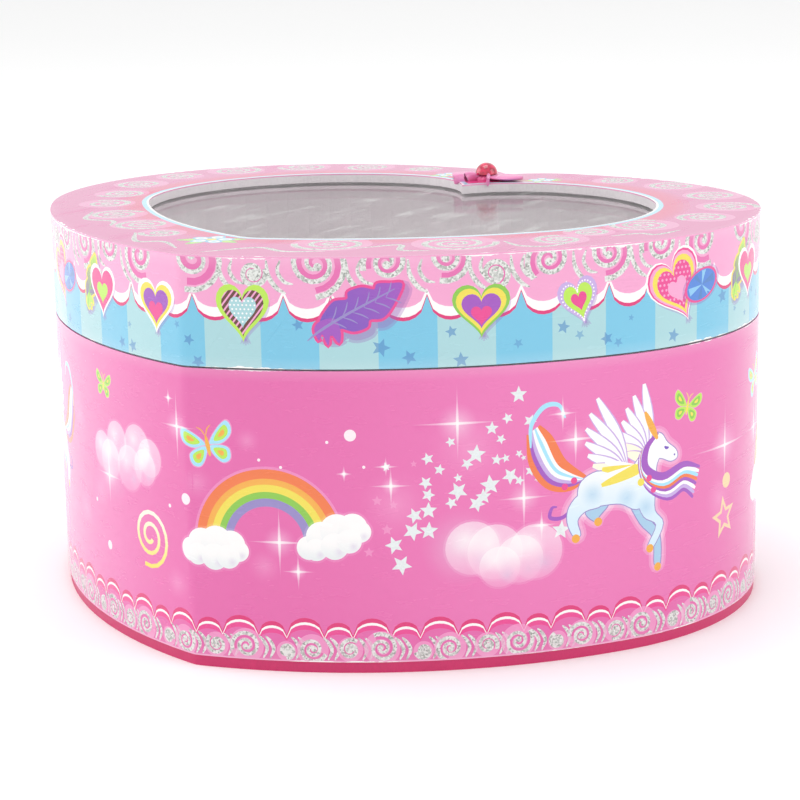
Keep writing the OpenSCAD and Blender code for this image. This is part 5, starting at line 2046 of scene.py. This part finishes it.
def loft(rings: Sequence[Points]) -> Skin:
    """Joins rings of points into a closed skin.

    Args:
        rings: Rings of as many points each, anticlockwise seen from the last ring.

    Returns:
        Its vertices and faces.
    """
    count = len(rings[0])
    verts = [tuple(p) for ring in rings for p in ring]
    faces = []
    for i in range(len(rings) - 1):
        for j in range(count):
            k = (j + 1) % count
            a, b = i * count, (i + 1) * count
            faces.append((a + j, a + k, b + k, b + j))
    ends = (len(verts), len(verts) + 1)
    verts += [tuple(np.mean(rings[0], axis=0)), tuple(np.mean(rings[-1], axis=0))]
    last = (len(rings) - 1) * count
    for j in range(count):
        k = (j + 1) % count
        faces += [(ends[0], k, j), (ends[1], last + j, last + k)]
    return verts, faces


def tube(path: Sequence[tuple[float, float, float]], radii: Sequence[float], squash: float = 1.0,
         count: int = 14,
         steps: int = 5) -> Skin:
    """A limb along a smooth path.

    Args:
        path: Points of its middle line.
        radii: Its radius at each of them.
        squash: Thickness of its section as a share of its width.
        count: Number of points round it.
        steps: Number of rings between two points.

    Returns:
        Its vertices and faces.
    """
    line = curve(path, steps)
    radius = np.interp(np.linspace(0, len(radii) - 1, len(line)), range(len(radii)), radii)
    ahead = np.gradient(line, axis=0)
    rings = []
    for point, way, r in zip(line, ahead, radius):
        way = way / np.linalg.norm(way)
        across = np.cross(way, (0, 1, 0)) if abs(way[1]) < 0.9 else np.cross(way, (1, 0, 0))
        across /= np.linalg.norm(across)
        third = np.cross(way, across)
        angle = around(count)
        rings.append(point + r * (np.cos(angle)[:, None] * across + squash * np.sin(angle)[:, None] * third))
    return loft(rings)


@dataclass
class Solid:
    """A closed mesh gathered from several skins, in millimetres."""

    name: str
    verts: list[tuple[float, ...]] = field(default_factory=list)
    faces: list[tuple[int, ...]] = field(default_factory=list)

    def add(self, skin: Skin) -> None:
        """Adds one skin."""
        first = len(self.verts)
        self.verts += skin[0]
        self.faces += [tuple(first + i for i in face) for face in skin[1]]

    def slab(self, outline: Points, low: float, high: float, holes: Sequence[Points] = ()) -> None:
        """Adds a plate with holes.

        Args:
            outline: Its outline, anticlockwise.
            low: Height of its underside.
            high: Height of its top.
            holes: Outlines of its holes.
        """

        def keep(p: Points) -> np.ndarray:
            """Tells which points lie on the plate."""
            return within_shape(p, outline) & ~np.any([within_shape(p, hole) for hole in holes], axis=0)

        flat_points, triangles = triangulate(*path_edges([(path, True) for path in (outline, *holes)]), keep)
        rim, first, count = open_edges(triangles), len(self.verts), len(flat_points)
        self.verts += [(x, y, z) for z in (high, low) for x, y in flat_points.tolist()]
        self.faces += [tuple(first + i for i in t) for t in triangles.tolist()]
        self.faces += [tuple(first + count + i for i in t[::-1]) for t in triangles.tolist()]
        self.faces += [(first + count + a, first + count + b, first + b, first + a) for a, b in rim.tolist()]

    def build(self, material: bpy.types.Material, offset: tuple[float, float, float] = (0, 0, 0),
              sharp: float = 35) -> bpy.types.Object:
        """Makes the object.

        Args:
            material: Its finish.
            offset: Where its own origin stands in the frame, in millimetres.
            sharp: Angle in degrees above which a corner stays crisp.

        Returns:
            The object, at the origin.
        """
        mesh = bpy.data.meshes.new(self.name)
        mesh.from_pydata(((np.array(self.verts) + offset) * MM).tolist(), [], self.faces)
        mesh.materials.append(material)
        return finish_object(self.name, mesh, sharp)


@dataclass
class BaseBoard:
    """The base board under the box, with the round mouth of the key well."""

    inset: float = 0.3
    well_r: float = 21.0

    def build(self, material: bpy.types.Material) -> bpy.types.Object:
        """Builds the board and hands it over."""
        low, high = (corner.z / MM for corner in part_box("base_board"))
        well_low, well_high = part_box("key_well")
        centre = ((well_low + well_high) / 2) / MM
        own = (centre.x, centre.y - plan_shift())
        solid = Solid("base_board_papered")
        solid.slab(BOX.loop(1.6, self.inset), low, high, [circle(self.well_r, 96) + own])
        made = solid.build(material, (0, plan_shift(), 0))
        return hand_over(made, "box", "base_paper", "base_board")


@dataclass
class Bow:
    """The bow at the window's notch: two padded loops, two tails, a knot and a domed gem."""

    loop_l: float = 9.4
    loop_w: float = 4.1
    height: float = 1.6
    knot_r: float = 3.3
    gem_r: float = 2.9

    @property
    def centre(self) -> tuple[float, float, float]:
        """Middle of the knot on the sheet, in the frame's millimetres."""
        low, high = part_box("bow_knot")
        middle = (low + high) / 2
        return middle.x / MM, middle.y / MM, low.z / MM

    def _loop(self, side: int) -> Skin:
        """One loop, gathered at the knot.

        Args:
            side: 1 for the right loop or -1 for the left.

        Returns:
            Its skin.
        """
        rings = []
        for t in np.linspace(0, 1, 16):
            reach = 1.0 + self.loop_l * t
            wide = 1.0 + (self.loop_w - 1.0) * math.sin(math.pi * min(1.0, 0.12 + 0.80 * t)) ** 0.8
            wide *= math.sqrt(max(0.02, 1 - max(0.0, t - 0.72) ** 2 / 0.0785))
            thick = self.height * (0.30 + 0.20 * math.sin(math.pi * t))
            ring = []
            for a in around(28):
                fold = 1 + 0.22 * (1 - t) * math.cos(5 * a)
                ring.append((side * reach, 0.55 * t + wide * math.cos(a),
                             self.height / 2 + thick * math.sin(a) * fold * 0.9))
            rings.append(np.array(ring) if side < 0 else np.array(ring[::-1]))
        return loft([r[::-1] for r in rings])

    def _tail(self, side: int) -> Skin:
        """One ribbon tail."""
        line = [(side * 1.2, -1.6, 0.7), (side * 2.8, -3.9, 0.95), (side * 3.9, -6.2, 0.6),
                (side * 5.0, -8.1, 0.5)]
        return tube(line, [0.8, 1.2, 1.35, 1.1], squash=0.34, count=16)

    def _dome(self, radius: float, height: float, base: float, pleats: int = 0) -> Skin:
        """A dome with a flat underside.

        Args:
            radius: Its radius at the foot.
            height: Its height.
            base: Height of its foot.
            pleats: Number of pleats round it.

        Returns:
            Its skin.
        """
        rings = []
        for t in np.linspace(0, 1, 12):
            angle = t * math.pi / 2
            ring = []
            for a in around(48):
                r = radius * math.cos(angle * 0.985) * (1 - 0.06 * (1 + math.cos(pleats * a)) * (pleats > 0))
                ring.append((r * math.cos(a), r * math.sin(a), base + height * math.sin(angle)))
            rings.append(np.array(ring))
        return loft(rings)

    def build(self, bow_finish: bpy.types.Material, knot_finish: bpy.types.Material,
              gem_finish: bpy.types.Material) -> list[bpy.types.Object]:
        """Builds the three pieces and hands them over."""
        x, y, z = self.centre
        loops = Solid("bow_ribbon")
        for side in (1, -1):
            loops.add(self._loop(side))
            loops.add(self._tail(side))
        knot = Solid("bow_rosette")
        knot.add(self._dome(self.knot_r, self.height, 0, pleats=12))
        gem = Solid("bow_gem")
        gem.add(self._dome(self.gem_r, self.gem_r, self.height * 0.92))
        return [
            hand_over(outward(loops.build(bow_finish, (x, y, z), 50)), "lid", "bow_plastic", "bow_loops"),
            hand_over(knot.build(knot_finish, (x, y, z), 50), "lid", "bow_plastic", "bow_knot"),
            hand_over(gem.build(gem_finish, (x, y, z), 50), "lid", "gem_plastic", "gem"),
        ]


def outward(made: bpy.types.Object) -> bpy.types.Object:
    """Turns every face of a closed piece outwards."""
    work = bmesh.new()
    work.from_mesh(made.data)
    bmesh.ops.recalc_face_normals(work, faces=work.faces)
    work.to_mesh(made.data)
    work.free()
    return made


@dataclass(frozen=True)
class Limb:
    """A painted part of the figure: its middle line, radii, paint and how flat it is."""

    path: tuple[tuple[float, float, float], ...]
    radii: tuple[float, ...]
    ink: Ink
    squash: float = 1.0


@dataclass
class Figurine:
    """The winged unicorn on the turntable. Its own x points ahead and its feet stand at height 0."""

    voxel: float = 0.42

    def limbs(self) -> list[Limb]:
        """Every part of the figure, in millimetres."""
        pink, white, gold, mane = Ink.FIGURE_PINK, Ink.WHITE, Ink.HORN, Ink.HOT_PINK
        parts = [
            Limb(((-8, 0, 15.6), (-3, 0, 15.2), (3, 0, 15.6), (6.5, 0, 17)), (3.2, 4.2, 4.3, 3.2), pink),
            Limb(((5.5, 0, 17.5), (8.6, 0, 21), (10, 0, 25)), (3.4, 2.6, 2.0), pink),
            Limb(((9, 0, 26), (11.6, 0, 25.4), (14.4, 0, 22.8)), (2.1, 2.1, 1.2), pink),
            Limb(((14.0, 0, 23.1), (14.9, 0, 22.3)), (1.35, 1.0), white),
            Limb(((10.4, 0, 27.6), (11.9, 0, 30.6), (13.2, 0, 33.4)), (0.8, 0.55, 0.2), gold),
        ]
        for y in (1.0, -1.0):
            parts.append(Limb(((9.2, y * 1.1, 27.0), (8.9, y * 1.7, 28.6), (8.8, y * 1.9, 29.8)),
                              (0.8, 0.6, 0.15), pink))
        for y, knee, foot in ((2.0, (5.8, 6.4), (6.4, 1.2)), (-2.0, (11.2, 11.2), (10.6, 6.4))):
            start = (6.0, y, 13.6)
            parts.append(Limb((start, (knee[0], y, knee[1]), (foot[0], y, foot[1])), (2.1, 1.1, 0.9), pink))
            parts.append(Limb(((foot[0], y, foot[1] + 0.2), (foot[0] + 0.3, y, foot[1] - 1.2)), (1.1, 1.4),
                              gold))
        for y, lean in ((2.2, 0.0), (-2.2, -2.2)):
            parts.append(Limb(((-7, y, 14), (-5.6 + lean, y, 9.6), (-8.8 + lean, y, 6.2),
                               (-7.6 + lean, y, 1.2)),
                              (2.9, 1.9, 1.1, 0.9), pink))
            parts.append(Limb(((-7.6 + lean, y, 1.4), (-7.2 + lean, y, 0.1)), (1.1, 1.4), gold))
        for i, (out, rise) in enumerate(((-0.9, 0.0), (0.0, 0.8), (0.9, 0.2))):
            parts.append(Limb(((10.4, out, 27.9), (7.6, 1.6 * out, 26.4 + rise), (5.4, 1.8 * out, 21.8),
                               (2.6, 2.0 * out, 18.8 + rise)), (0.9, 1.7, 1.6, 0.5),
                               mane if i != 1 else Ink.LILAC))
            parts.append(Limb(((-9.4, 0.4 * out, 17.8), (-13.2, 1.2 * out, 18.6 + rise),
                               (-15.6, 1.4 * out, 12.4),
                               (-14.2 - rise, 1.6 * out, 5.0)), (0.9, 1.5, 1.7, 0.3),
                               mane if i != 1 else Ink.LILAC))
        for side in (1, -1):
            for i in range(5):
                reach = 15.5 - 2.3 * i
                lean = math.radians(128 + 15 * i)
                tip = (1.0 + reach * math.cos(lean), side * (4.0 + 0.42 * reach),
                       18.0 + 0.86 * reach * math.sin(lean))
                middle = (1.0 + 0.55 * (tip[0] - 1.0) - 0.8, side * (3.2 + 0.3 * reach),
                          18.0 + 0.62 * (tip[2] - 18.0))
                parts.append(Limb(((1.8, side * 3.0, 17.6), middle, tip), (1.1, 1.7, 0.4), white, 0.4))
        return parts

    def build(self, material: bpy.types.Material) -> bpy.types.Object:
        """Builds the figure as one moulded skin, paints it and hands it over.

        Args:
            material: Its finish.

        Returns:
            The piece.
        """
        limbs = self.limbs()
        solid = Solid("unicorn_figure")
        for limb in limbs:
            solid.add(tube(limb.path, limb.radii, limb.squash))
        low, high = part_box("figurine")
        low, high = low / MM, high / MM
        points = np.array(solid.verts)
        scale = min((high.z - low.z) / (points[:, 2].max() + 0.1), (high.x - low.x) / np.ptp(points[:, 0]),
                    (high.y - low.y) / np.ptp(points[:, 1]))
        own_middle = (points[:, 0].max() + points[:, 0].min()) / 2
        middle = ((low.x + high.x) / 2, (low.y + high.y) / 2)
        raw = solid.build(material)
        smooth = self._mould(raw)
        co = np.empty(3 * len(smooth.vertices))
        smooth.vertices.foreach_get("co", co)
        co = co.reshape(-1, 3) / MM
        inks = self._nearest(co, limbs)
        co[:, 2] = np.maximum(co[:, 2] * scale, 0.0)
        placed = np.stack([middle[0] - scale * (co[:, 0] - own_middle), middle[1] - scale * co[:, 1],
                           low.z + co[:, 2]], axis=1) * MM
        smooth.vertices.foreach_set("co", placed.ravel())
        ink = smooth.color_attributes.new("ink", "FLOAT_COLOR", "POINT")
        ink.data.foreach_set("color", inks.astype(np.float32).ravel())
        made = finish_object("unicorn_figure", smooth, 80)
        return hand_over(made, "stage", "figure_plastic", "figurine")

    def _mould(self, raw: bpy.types.Object) -> bpy.types.Mesh:
        """Melts the limbs into one skin and removes the loose object.

        Args:
            raw: The limbs as one object.

        Returns:
            The moulded mesh.
        """
        melt = raw.modifiers.new("Melt", "REMESH")
        melt.mode = "VOXEL"
        melt.voxel_size = self.voxel * MM
        ease = raw.modifiers.new("Ease", "SMOOTH")
        ease.factor = 0.5
        ease.iterations = 3
        graph = bpy.context.evaluated_depsgraph_get()
        made = bpy.data.meshes.new_from_object(raw.evaluated_get(graph))
        made.name = "unicorn_figure"
        bpy.data.objects.remove(raw)
        return made

    @staticmethod
    def _nearest(points: Points, limbs: Sequence[Limb]) -> np.ndarray:
        """Gives each point the paint of the limb it lies nearest to.

        Args:
            points: Points on the skin, in the figure's own millimetres.
            limbs: The limbs.

        Returns:
            Linear colours.
        """
        best = np.full(len(points), 1e9)
        colour = np.zeros((len(points), 4))
        for limb in limbs:
            line = curve(limb.path, 5)
            radius = np.interp(np.linspace(0, len(limb.radii) - 1, len(line)), range(len(limb.radii)),
                               limb.radii)
            gap = np.linalg.norm(points[:, None] - line[None], axis=2) / (radius[None] ** 0.8)
            near = gap.min(axis=1)
            closer = near < best
            best[closer] = near[closer]
            colour[closer] = limb.ink.linear
        return colour


# ---------------------------------------------------------------- pieces that repeat


class Repeat:
    """A geometry tree that repeats one small shape, with named inputs."""

    def __init__(self, name: str, inputs: dict[str, float]) -> None:
        """Starts the tree.

        Args:
            name: The tree's name.
            inputs: Its number inputs and their values.
        """
        self.tree = bpy.data.node_groups.new(name, "GeometryNodeTree")
        self.values = inputs
        self.tree.interface.new_socket(name="Geometry", in_out="INPUT", socket_type="NodeSocketGeometry")
        for key, value in inputs.items():
            kind = "NodeSocketInt" if isinstance(value, int) else "NodeSocketFloat"
            self.tree.interface.new_socket(name=key, in_out="INPUT", socket_type=kind)
        self.tree.interface.new_socket(name="Geometry", in_out="OUTPUT", socket_type="NodeSocketGeometry")
        self.board = Board(self.tree)
        self.given = self.board.add("NodeGroupInput").outputs
        self.out = self.board.add("NodeGroupOutput").inputs

    def close(self, instances: bpy.types.NodeSocket, material: bpy.types.Material) -> None:
        """Ends the tree in real geometry with its material."""
        real = self.board.add("GeometryNodeRealizeInstances", {0: instances})
        smooth = self.board.add("GeometryNodeSetShadeSmooth", {0: real.outputs[0]})
        painted = self.board.add("GeometryNodeSetMaterial", {0: smooth.outputs[0], "Material": material})
        self.tree.links.new(painted.outputs[0], self.out[0])

    def grow(self, name: str) -> bpy.types.Object:
        """Runs the tree and keeps the result as a plain mesh.

        Args:
            name: Name of the piece.

        Returns:
            The piece.
        """
        seed_mesh = bpy.data.meshes.new(name)
        holder = bpy.data.objects.new(name + "_seed", seed_mesh)
        bpy.context.scene.collection.objects.link(holder)
        modifier = holder.modifiers.new("Repeat", "NODES")
        modifier.node_group = self.tree
        sockets = {s.name: s.identifier for s in self.tree.interface.items_tree
                   if s.item_type == "SOCKET" and s.in_out == "INPUT"}
        for key, value in self.values.items():
            modifier[sockets[key]] = value
        graph = bpy.context.evaluated_depsgraph_get()
        made = bpy.data.meshes.new_from_object(holder.evaluated_get(graph))
        made.name = name
        bpy.data.objects.remove(holder)
        made_object = bpy.data.objects.new(name, made)
        bpy.context.scene.collection.objects.link(made_object)
        log.info("%s: %d faces", name, len(made.polygons))
        return made_object


@dataclass
class Turntable:
    """The turntable: a low drum with a stepped rim and a ring of pearls."""

    pearls: int = 40
    pearl_r: float = 0.75

    def build(self, material: bpy.types.Material, pearl_finish: bpy.types.Material) -> list[bpy.types.Object]:
        """Builds the drum and its pearls and hands them over."""
        low, high = (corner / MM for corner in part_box("turntable"))
        centre = ((low.x + high.x) / 2, (low.y + high.y) / 2, low.z)
        radius, thick = (high.x - low.x) / 2, high.z - low.z
        spindle_low, spindle_high = (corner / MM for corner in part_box("spindle"))
        bore_r, bore_top = (spindle_high.x - spindle_low.x) / 2 + 0.02, spindle_high.z - low.z
        profile = [(bore_r, bore_top), (bore_r, 0.0), (radius - 0.9, 0.0), (radius - 0.2, 0.25),
                   (radius, 0.7),
                   (radius - 0.15, 1.15), (radius - 0.7, 1.4), (radius - 0.9, thick - 0.5),
                   (radius - 1.2, thick - 0.15),
                   (radius - 1.8, thick), (radius - 3.2, thick), (radius - 3.5, thick - 0.3),
                   (radius - 4.2, thick - 0.3),
                   (radius - 4.5, thick), (0.4, thick)]
        rings = [np.insert(circle(r, 128), 2, z, axis=1) for r, z in profile]
        drum = Solid("turntable_drum")
        drum.add(loft(rings))
        made = outward(drum.build(material, centre, 30))
        ring = self._pearl_ring(pearl_finish, centre, radius - 2.5, thick - 0.05)
        return [hand_over(made, "stage", "stage_plastic", "turntable"),
                hand_over(ring, "stage", "stage_plastic")]

    def _pearl_ring(self, material: bpy.types.Material, centre: tuple[float, float, float], radius: float,
                    height: float) -> bpy.types.Object:
        """Sets the pearls in a ring with a geometry tree."""
        values = {"Count": self.pearls, "Ring radius": radius * MM, "Pearl radius": self.pearl_r * MM}
        repeat = Repeat("Pearl ring", values)
        board, given = repeat.board, repeat.given
        ring = board.add("GeometryNodeMeshCircle",
                         {"Vertices": given["Count"], "Radius": given["Ring radius"]})
        pearl = board.add("GeometryNodeMeshIcoSphere", {"Radius": given["Pearl radius"], "Subdivisions": 2})
        set_on = board.add("GeometryNodeInstanceOnPoints",
                           {"Points": ring.outputs[0], "Instance": pearl.outputs["Mesh"]})
        moved = board.add("GeometryNodeTransform", {
            "Geometry": set_on.outputs[0],
            "Translation": (centre[0] * MM, centre[1] * MM, (centre[2] + height) * MM)})
        repeat.close(moved.outputs[0], material)
        return repeat.grow("turntable_pearls")


@dataclass
class CylinderPins:
    """The fine pins of the musical cylinder, set at random in the comb's rows."""

    tracks: int = 18
    pins: int = 260
    pin_r: float = 0.11
    pin_l: float = 0.38

    def build(self, material: bpy.types.Material) -> bpy.types.Object:
        """Sets the pins with a geometry tree and hands them over."""
        low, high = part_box("pinned_cylinder")
        values = {"Pins": self.pins, "Tracks": self.tracks, "Length": 0.86 * (high.x - low.x),
                  "Radius": (high.z - low.z) / 2, "Seed": SEED}
        repeat = Repeat("Cylinder pins", values)
        board, given = repeat.board, repeat.given
        line = board.add("GeometryNodePoints", {"Count": given["Pins"]})
        turn = board.add("FunctionNodeRandomValue", {2: 0.0, 3: 2 * math.pi, "Seed": given["Seed"]},
                         data_type="FLOAT").outputs[1]
        other_seed = board.math("ADD", given["Seed"], 1)
        track = board.add("FunctionNodeRandomValue", {2: 0.0, 3: 1.0, "Seed": other_seed},
                          data_type="FLOAT").outputs[1]
        whole = board.math("FLOOR", board.math("MULTIPLY", track, given["Tracks"]))
        share = board.math("DIVIDE", whole, given["Tracks"])
        along = board.math("MULTIPLY", share, given["Length"])
        cosine, sine = board.math("COSINE", turn), board.math("SINE", turn)
        reach = board.math("SUBTRACT", given["Radius"], 0.25 * self.pin_l * MM)
        spot = board.add("ShaderNodeCombineXYZ", {0: along, 1: board.math("MULTIPLY", cosine, reach),
                                                  2: board.math("MULTIPLY", sine, reach)})
        start = (low.x + 0.07 * (high.x - low.x), (low.y + high.y) / 2, (low.z + high.z) / 2)
        placed = board.add("GeometryNodeSetPosition",
                           {"Geometry": line.outputs[0], "Position": spot.outputs[0]})
        way = board.add("ShaderNodeCombineXYZ", {0: 0.0, 1: cosine, 2: sine})
        lean = board.add("FunctionNodeAlignRotationToVector", {"Vector": way.outputs[0]}, axis="Z")
        pin = board.add("GeometryNodeMeshCone", {"Vertices": 6, "Radius Top": 0.6 * self.pin_r * MM,
                                                 "Radius Bottom": self.pin_r * MM, "Depth": self.pin_l * MM})
        set_on = board.add("GeometryNodeInstanceOnPoints",
                           {"Points": placed.outputs[0], "Instance": pin.outputs[0],
                                                            "Rotation": lean.outputs[0]})
        moved = board.add("GeometryNodeTransform", {"Geometry": set_on.outputs[0], "Translation": start})
        repeat.close(moved.outputs[0], material)
        return hand_over(repeat.grow("cylinder_pins"), "cylinder", "steel")


@dataclass
class RingCushion:
    """The rolls that hold rings: round-ended tubes, which the cloth step leaves almost as they are."""

    pressure: float = 4.0
    frames: int = 20
    cap: float = 0.9
    slim: float = 0.86
    roll_gap: float = 1.0
    end_gap: float = 0.4
    end_round: float = 2.2

    def _rolls(self) -> list[tuple[Points, float]]:
        """Start point and length of each roll, from the CAD piece."""
        node = frame["nodes"]["ring_cushion"]
        co = np.array([v.co for v in node.data.vertices]) / MM
        low, high = co.min(0), co.max(0)
        radius = (high[2] - low[2]) / 2
        pitch = 2 * radius + self.roll_gap
        count = round((high[0] - low[0] + self.roll_gap) / pitch)
        rolls = []
        for i in range(count):
            x = high[0] - radius - i * pitch
            own = co[np.abs(co[:, 0] - x) < radius * 1.01]
            rolls.append((np.array([x, own[:, 1].min(), (low[2] + high[2]) / 2]), float(np.ptp(own[:, 1]))))
        return rolls

    def build(self, material: bpy.types.Material) -> bpy.types.Object:
        """Builds the rolls, runs the cloth step and hands them over."""
        low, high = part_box("ring_cushion")
        radius = (high.z - low.z) / 2 / MM
        solid = Solid("ring_rolls")
        for start, length in self._rolls():
            rings = []
            for t in np.linspace(0, 1, 25):
                end = min(t, 1 - t) * length
                r = self.slim * radius * math.sqrt(max(0.04, 1 - max(0.0, 1 - end / self.end_round) ** 2))
                angle = -around(24)
                along = np.full(len(angle), self.end_gap + t * (length - 2 * self.end_gap))
                rings.append(start + np.stack([r * np.cos(angle), along, r * np.sin(angle)], axis=1))
            solid.add(loft(rings))
        made = outward(solid.build(material, sharp=80))
        self._swell(made)
        self._fit(made, low, high)
        hand_over(made, "box", "cushion", "ring_cushion")
        return made

    def _swell(self, made: bpy.types.Object) -> None:
        """Runs the rolls as cloth under pressure and applies the result.

        At this size it moves no point by more than about 0.005 mm.

        Args:
            made: The rolls.
        """
        scene = bpy.context.scene
        before = np.array([v.co for v in made.data.vertices])
        cloth = made.modifiers.new("Pad", "CLOTH")
        cloth.settings.use_pressure = True
        cloth.settings.uniform_pressure_force = self.pressure
        cloth.settings.effector_weights.gravity = 0
        cloth.settings.tension_stiffness = 25
        for number in range(1, self.frames + 1):
            scene.frame_set(number)
        graph = bpy.context.evaluated_depsgraph_get()
        after = np.array([v.co for v in made.evaluated_get(graph).data.vertices])
        made.modifiers.remove(cloth)
        scene.frame_set(1)
        move = after - before
        reach = np.linalg.norm(move, axis=1, keepdims=True)
        capped = before + move * np.minimum(1, self.cap * MM / np.maximum(reach, 1e-9))
        made.data.vertices.foreach_set("co", capped.ravel())
        made.data.update()

    @staticmethod
    def _fit(made: bpy.types.Object, low: Vector, high: Vector) -> None:
        """Keeps the rolls within their CAD box."""
        co = np.array([v.co for v in made.data.vertices])
        made.data.vertices.foreach_set("co", np.clip(co, np.array(low), np.array(high)).ravel())
        made.data.update()


# ---------------------------------------------------------------- CAD nodes and studio


class CadDresser:
    """Gives the CAD nodes that stay in sight their finishes by material slot."""

    def __init__(self) -> None:
        """Builds one finish for each slot that a CAD node uses."""
        self.finishes = {
            "greyboard": CardFinish("Board edge", (0.80, 0.76, 0.78), specks=0.25, gloss=0.7),
            "lining_pink": CardFinish("Pale pink lining", (0.93, 0.80, 0.86), specks=0.05, gloss=0.6),
            "lining_white": CardFinish("White card", (0.86, 0.84, 0.82), specks=0.08, gloss=0.6),
            "clear_sheet": ClearFinish("Window sheet"),
            "wood_block": WoodFinish("Softwood"),
            "steel": MetalFinish("Plated steel", (0.62, 0.63, 0.65), 0.26),
            "blued_steel": MetalFinish("Blued steel", (0.10, 0.13, 0.20), 0.3),
            "brass": MetalFinish("Plated brass", (0.78, 0.56, 0.24), 0.24),
            "stage_plastic": PlasticFinish("Pearl plastic", Ink.BLUSH, pearl=0.3),
        }

    def dress(self) -> None:
        """Gives each shown CAD node the finish of its slot."""
        made = {name: finish.material() for name, finish in self.finishes.items()}
        slots = {part["node"]: part["material_slot"] for part in frame["record"]["subparts"]}
        for name, node in frame["nodes"].items():
            if node.hide_render:
                continue
            node.data.materials.clear()
            node.data.materials.append(made[slots[name]])
            log.info("%s takes %s", name, slots[name])


@dataclass
class Studio:
    """The pale floor, the soft lights and the camera."""

    eye: tuple[float, float, float] = (0.2913, -0.4615, 0.1694)
    ahead: tuple[float, float, float] = (-0.51178, 0.82950, -0.22364)
    above: tuple[float, float, float] = (-0.10109, 0.20037, 0.97449)
    lens: float = 102.6
    floor_reach: float = 6.0
    daylight: float = 0.92

    def _floor(self) -> None:
        """Lays the floor."""
        r = self.floor_reach
        mesh = bpy.data.meshes.new("studio_floor")
        mesh.from_pydata([(-r, -r, 0), (r, -r, 0), (r, r, 0), (-r, r, 0)], [], [(0, 1, 2, 3)])
        material = bpy.data.materials.new("Studio floor")
        material.use_nodes = True
        shader = material.node_tree.nodes["Principled BSDF"]
        shader.inputs["Base Color"].default_value = (1, 1, 1, 1)
        shader.inputs["Roughness"].default_value = 0.6
        mesh.materials.append(material)
        floor = bpy.data.objects.new("studio_floor", mesh)
        bpy.context.scene.collection.objects.link(floor)

    def _soft_light(self, name: str, at: tuple[float, float, float], size: float, power: float) -> None:
        """Hangs a square soft light that faces the box.

        Args:
            name: Its name.
            at: Its place, in metres.
            size: Its side, in metres.
            power: Its power, in watts.
        """
        data = bpy.data.lights.new(name, "AREA")
        data.size, data.energy = size, power
        light = bpy.data.objects.new(name, data)
        light.location = at
        light.rotation_euler = (Vector((0, 0, 0.05)) - Vector(at)).to_track_quat("-Z", "Y").to_euler()
        bpy.context.scene.collection.objects.link(light)

    def build(self) -> None:
        """Builds the floor, the lights, the world and the camera."""
        self._floor()
        self._soft_light("left_softbox", (-1.3, -0.5, 0.6), 1.0, 5)
        self._soft_light("right_softbox", (1.5, 0.3, 0.7), 1.0, 4)
        self._soft_light("top_softbox", (-0.1, -0.1, 1.4), 0.9, 6)
        world = bpy.data.worlds.new("Studio")
        world.use_nodes = True
        background = world.node_tree.nodes["Background"]
        background.inputs["Color"].default_value = (1, 1, 1, 1)
        background.inputs["Strength"].default_value = self.daylight
        scene = bpy.context.scene
        scene.world = world
        scene.view_settings.view_transform = "Standard"
        ahead, above = Vector(self.ahead).normalized(), Vector(self.above).normalized()
        right = ahead.cross(above).normalized()
        above = right.cross(ahead)
        camera = bpy.data.cameras.new("Camera")
        camera.lens, camera.sensor_width = self.lens, 36.0
        eye = bpy.data.objects.new("Camera", camera)
        turn = Matrix((right, above, -ahead)).transposed().to_4x4()
        eye.matrix_world = Matrix.Translation(self.eye) @ turn
        scene.collection.objects.link(eye)
        scene.camera = eye


def main() -> None:
    """Builds every piece in order and reports it."""
    logging.basicConfig(level=logging.INFO, format="%(message)s")
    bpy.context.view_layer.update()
    BodyPaper("body_wrap", "box", "printed_body", PrintFinish("Body print", chip_reach=0.35),
              Ink.ROSE).build()
    LidPaper("lid_wrap", "lid", "printed_band", PrintFinish("Band print", chip_reach=0.7), Ink.SKY).build()
    TopPaper().build()
    BaseBoard().build(CardFinish("Deep pink paper", Ink.DEEP_PINK.linear[:3], specks=0.1,
                                 gloss=0.4).material())
    bow_finish = PlasticFinish("Bow plastic", Ink.PINK, gloss=0.22).material()
    knot_finish = PlasticFinish("Knot plastic", Ink.HOT_PINK, gloss=0.22).material()
    Bow().build(bow_finish, knot_finish, GemFinish("Crimson resin").material())
    pearl = PlasticFinish("Turntable plastic", Ink.BLUSH, gloss=0.2, pearl=0.4).material()
    Turntable().build(pearl, PlasticFinish("Pearls", Ink.CREAM, gloss=0.12, pearl=0.5).material())
    Figurine().build(PlasticFinish("Figure paint", Ink.FIGURE_PINK, gloss=0.3, painted=True).material())
    CylinderPins().build(MetalFinish("Pin steel", (0.6, 0.6, 0.62), 0.25).material())
    RingCushion().build(FlockFinish("Pink flock", Ink.BLUSH).material())
    CadDresser().dress()
    Studio().build()


if __name__ == "__main__":
    main()
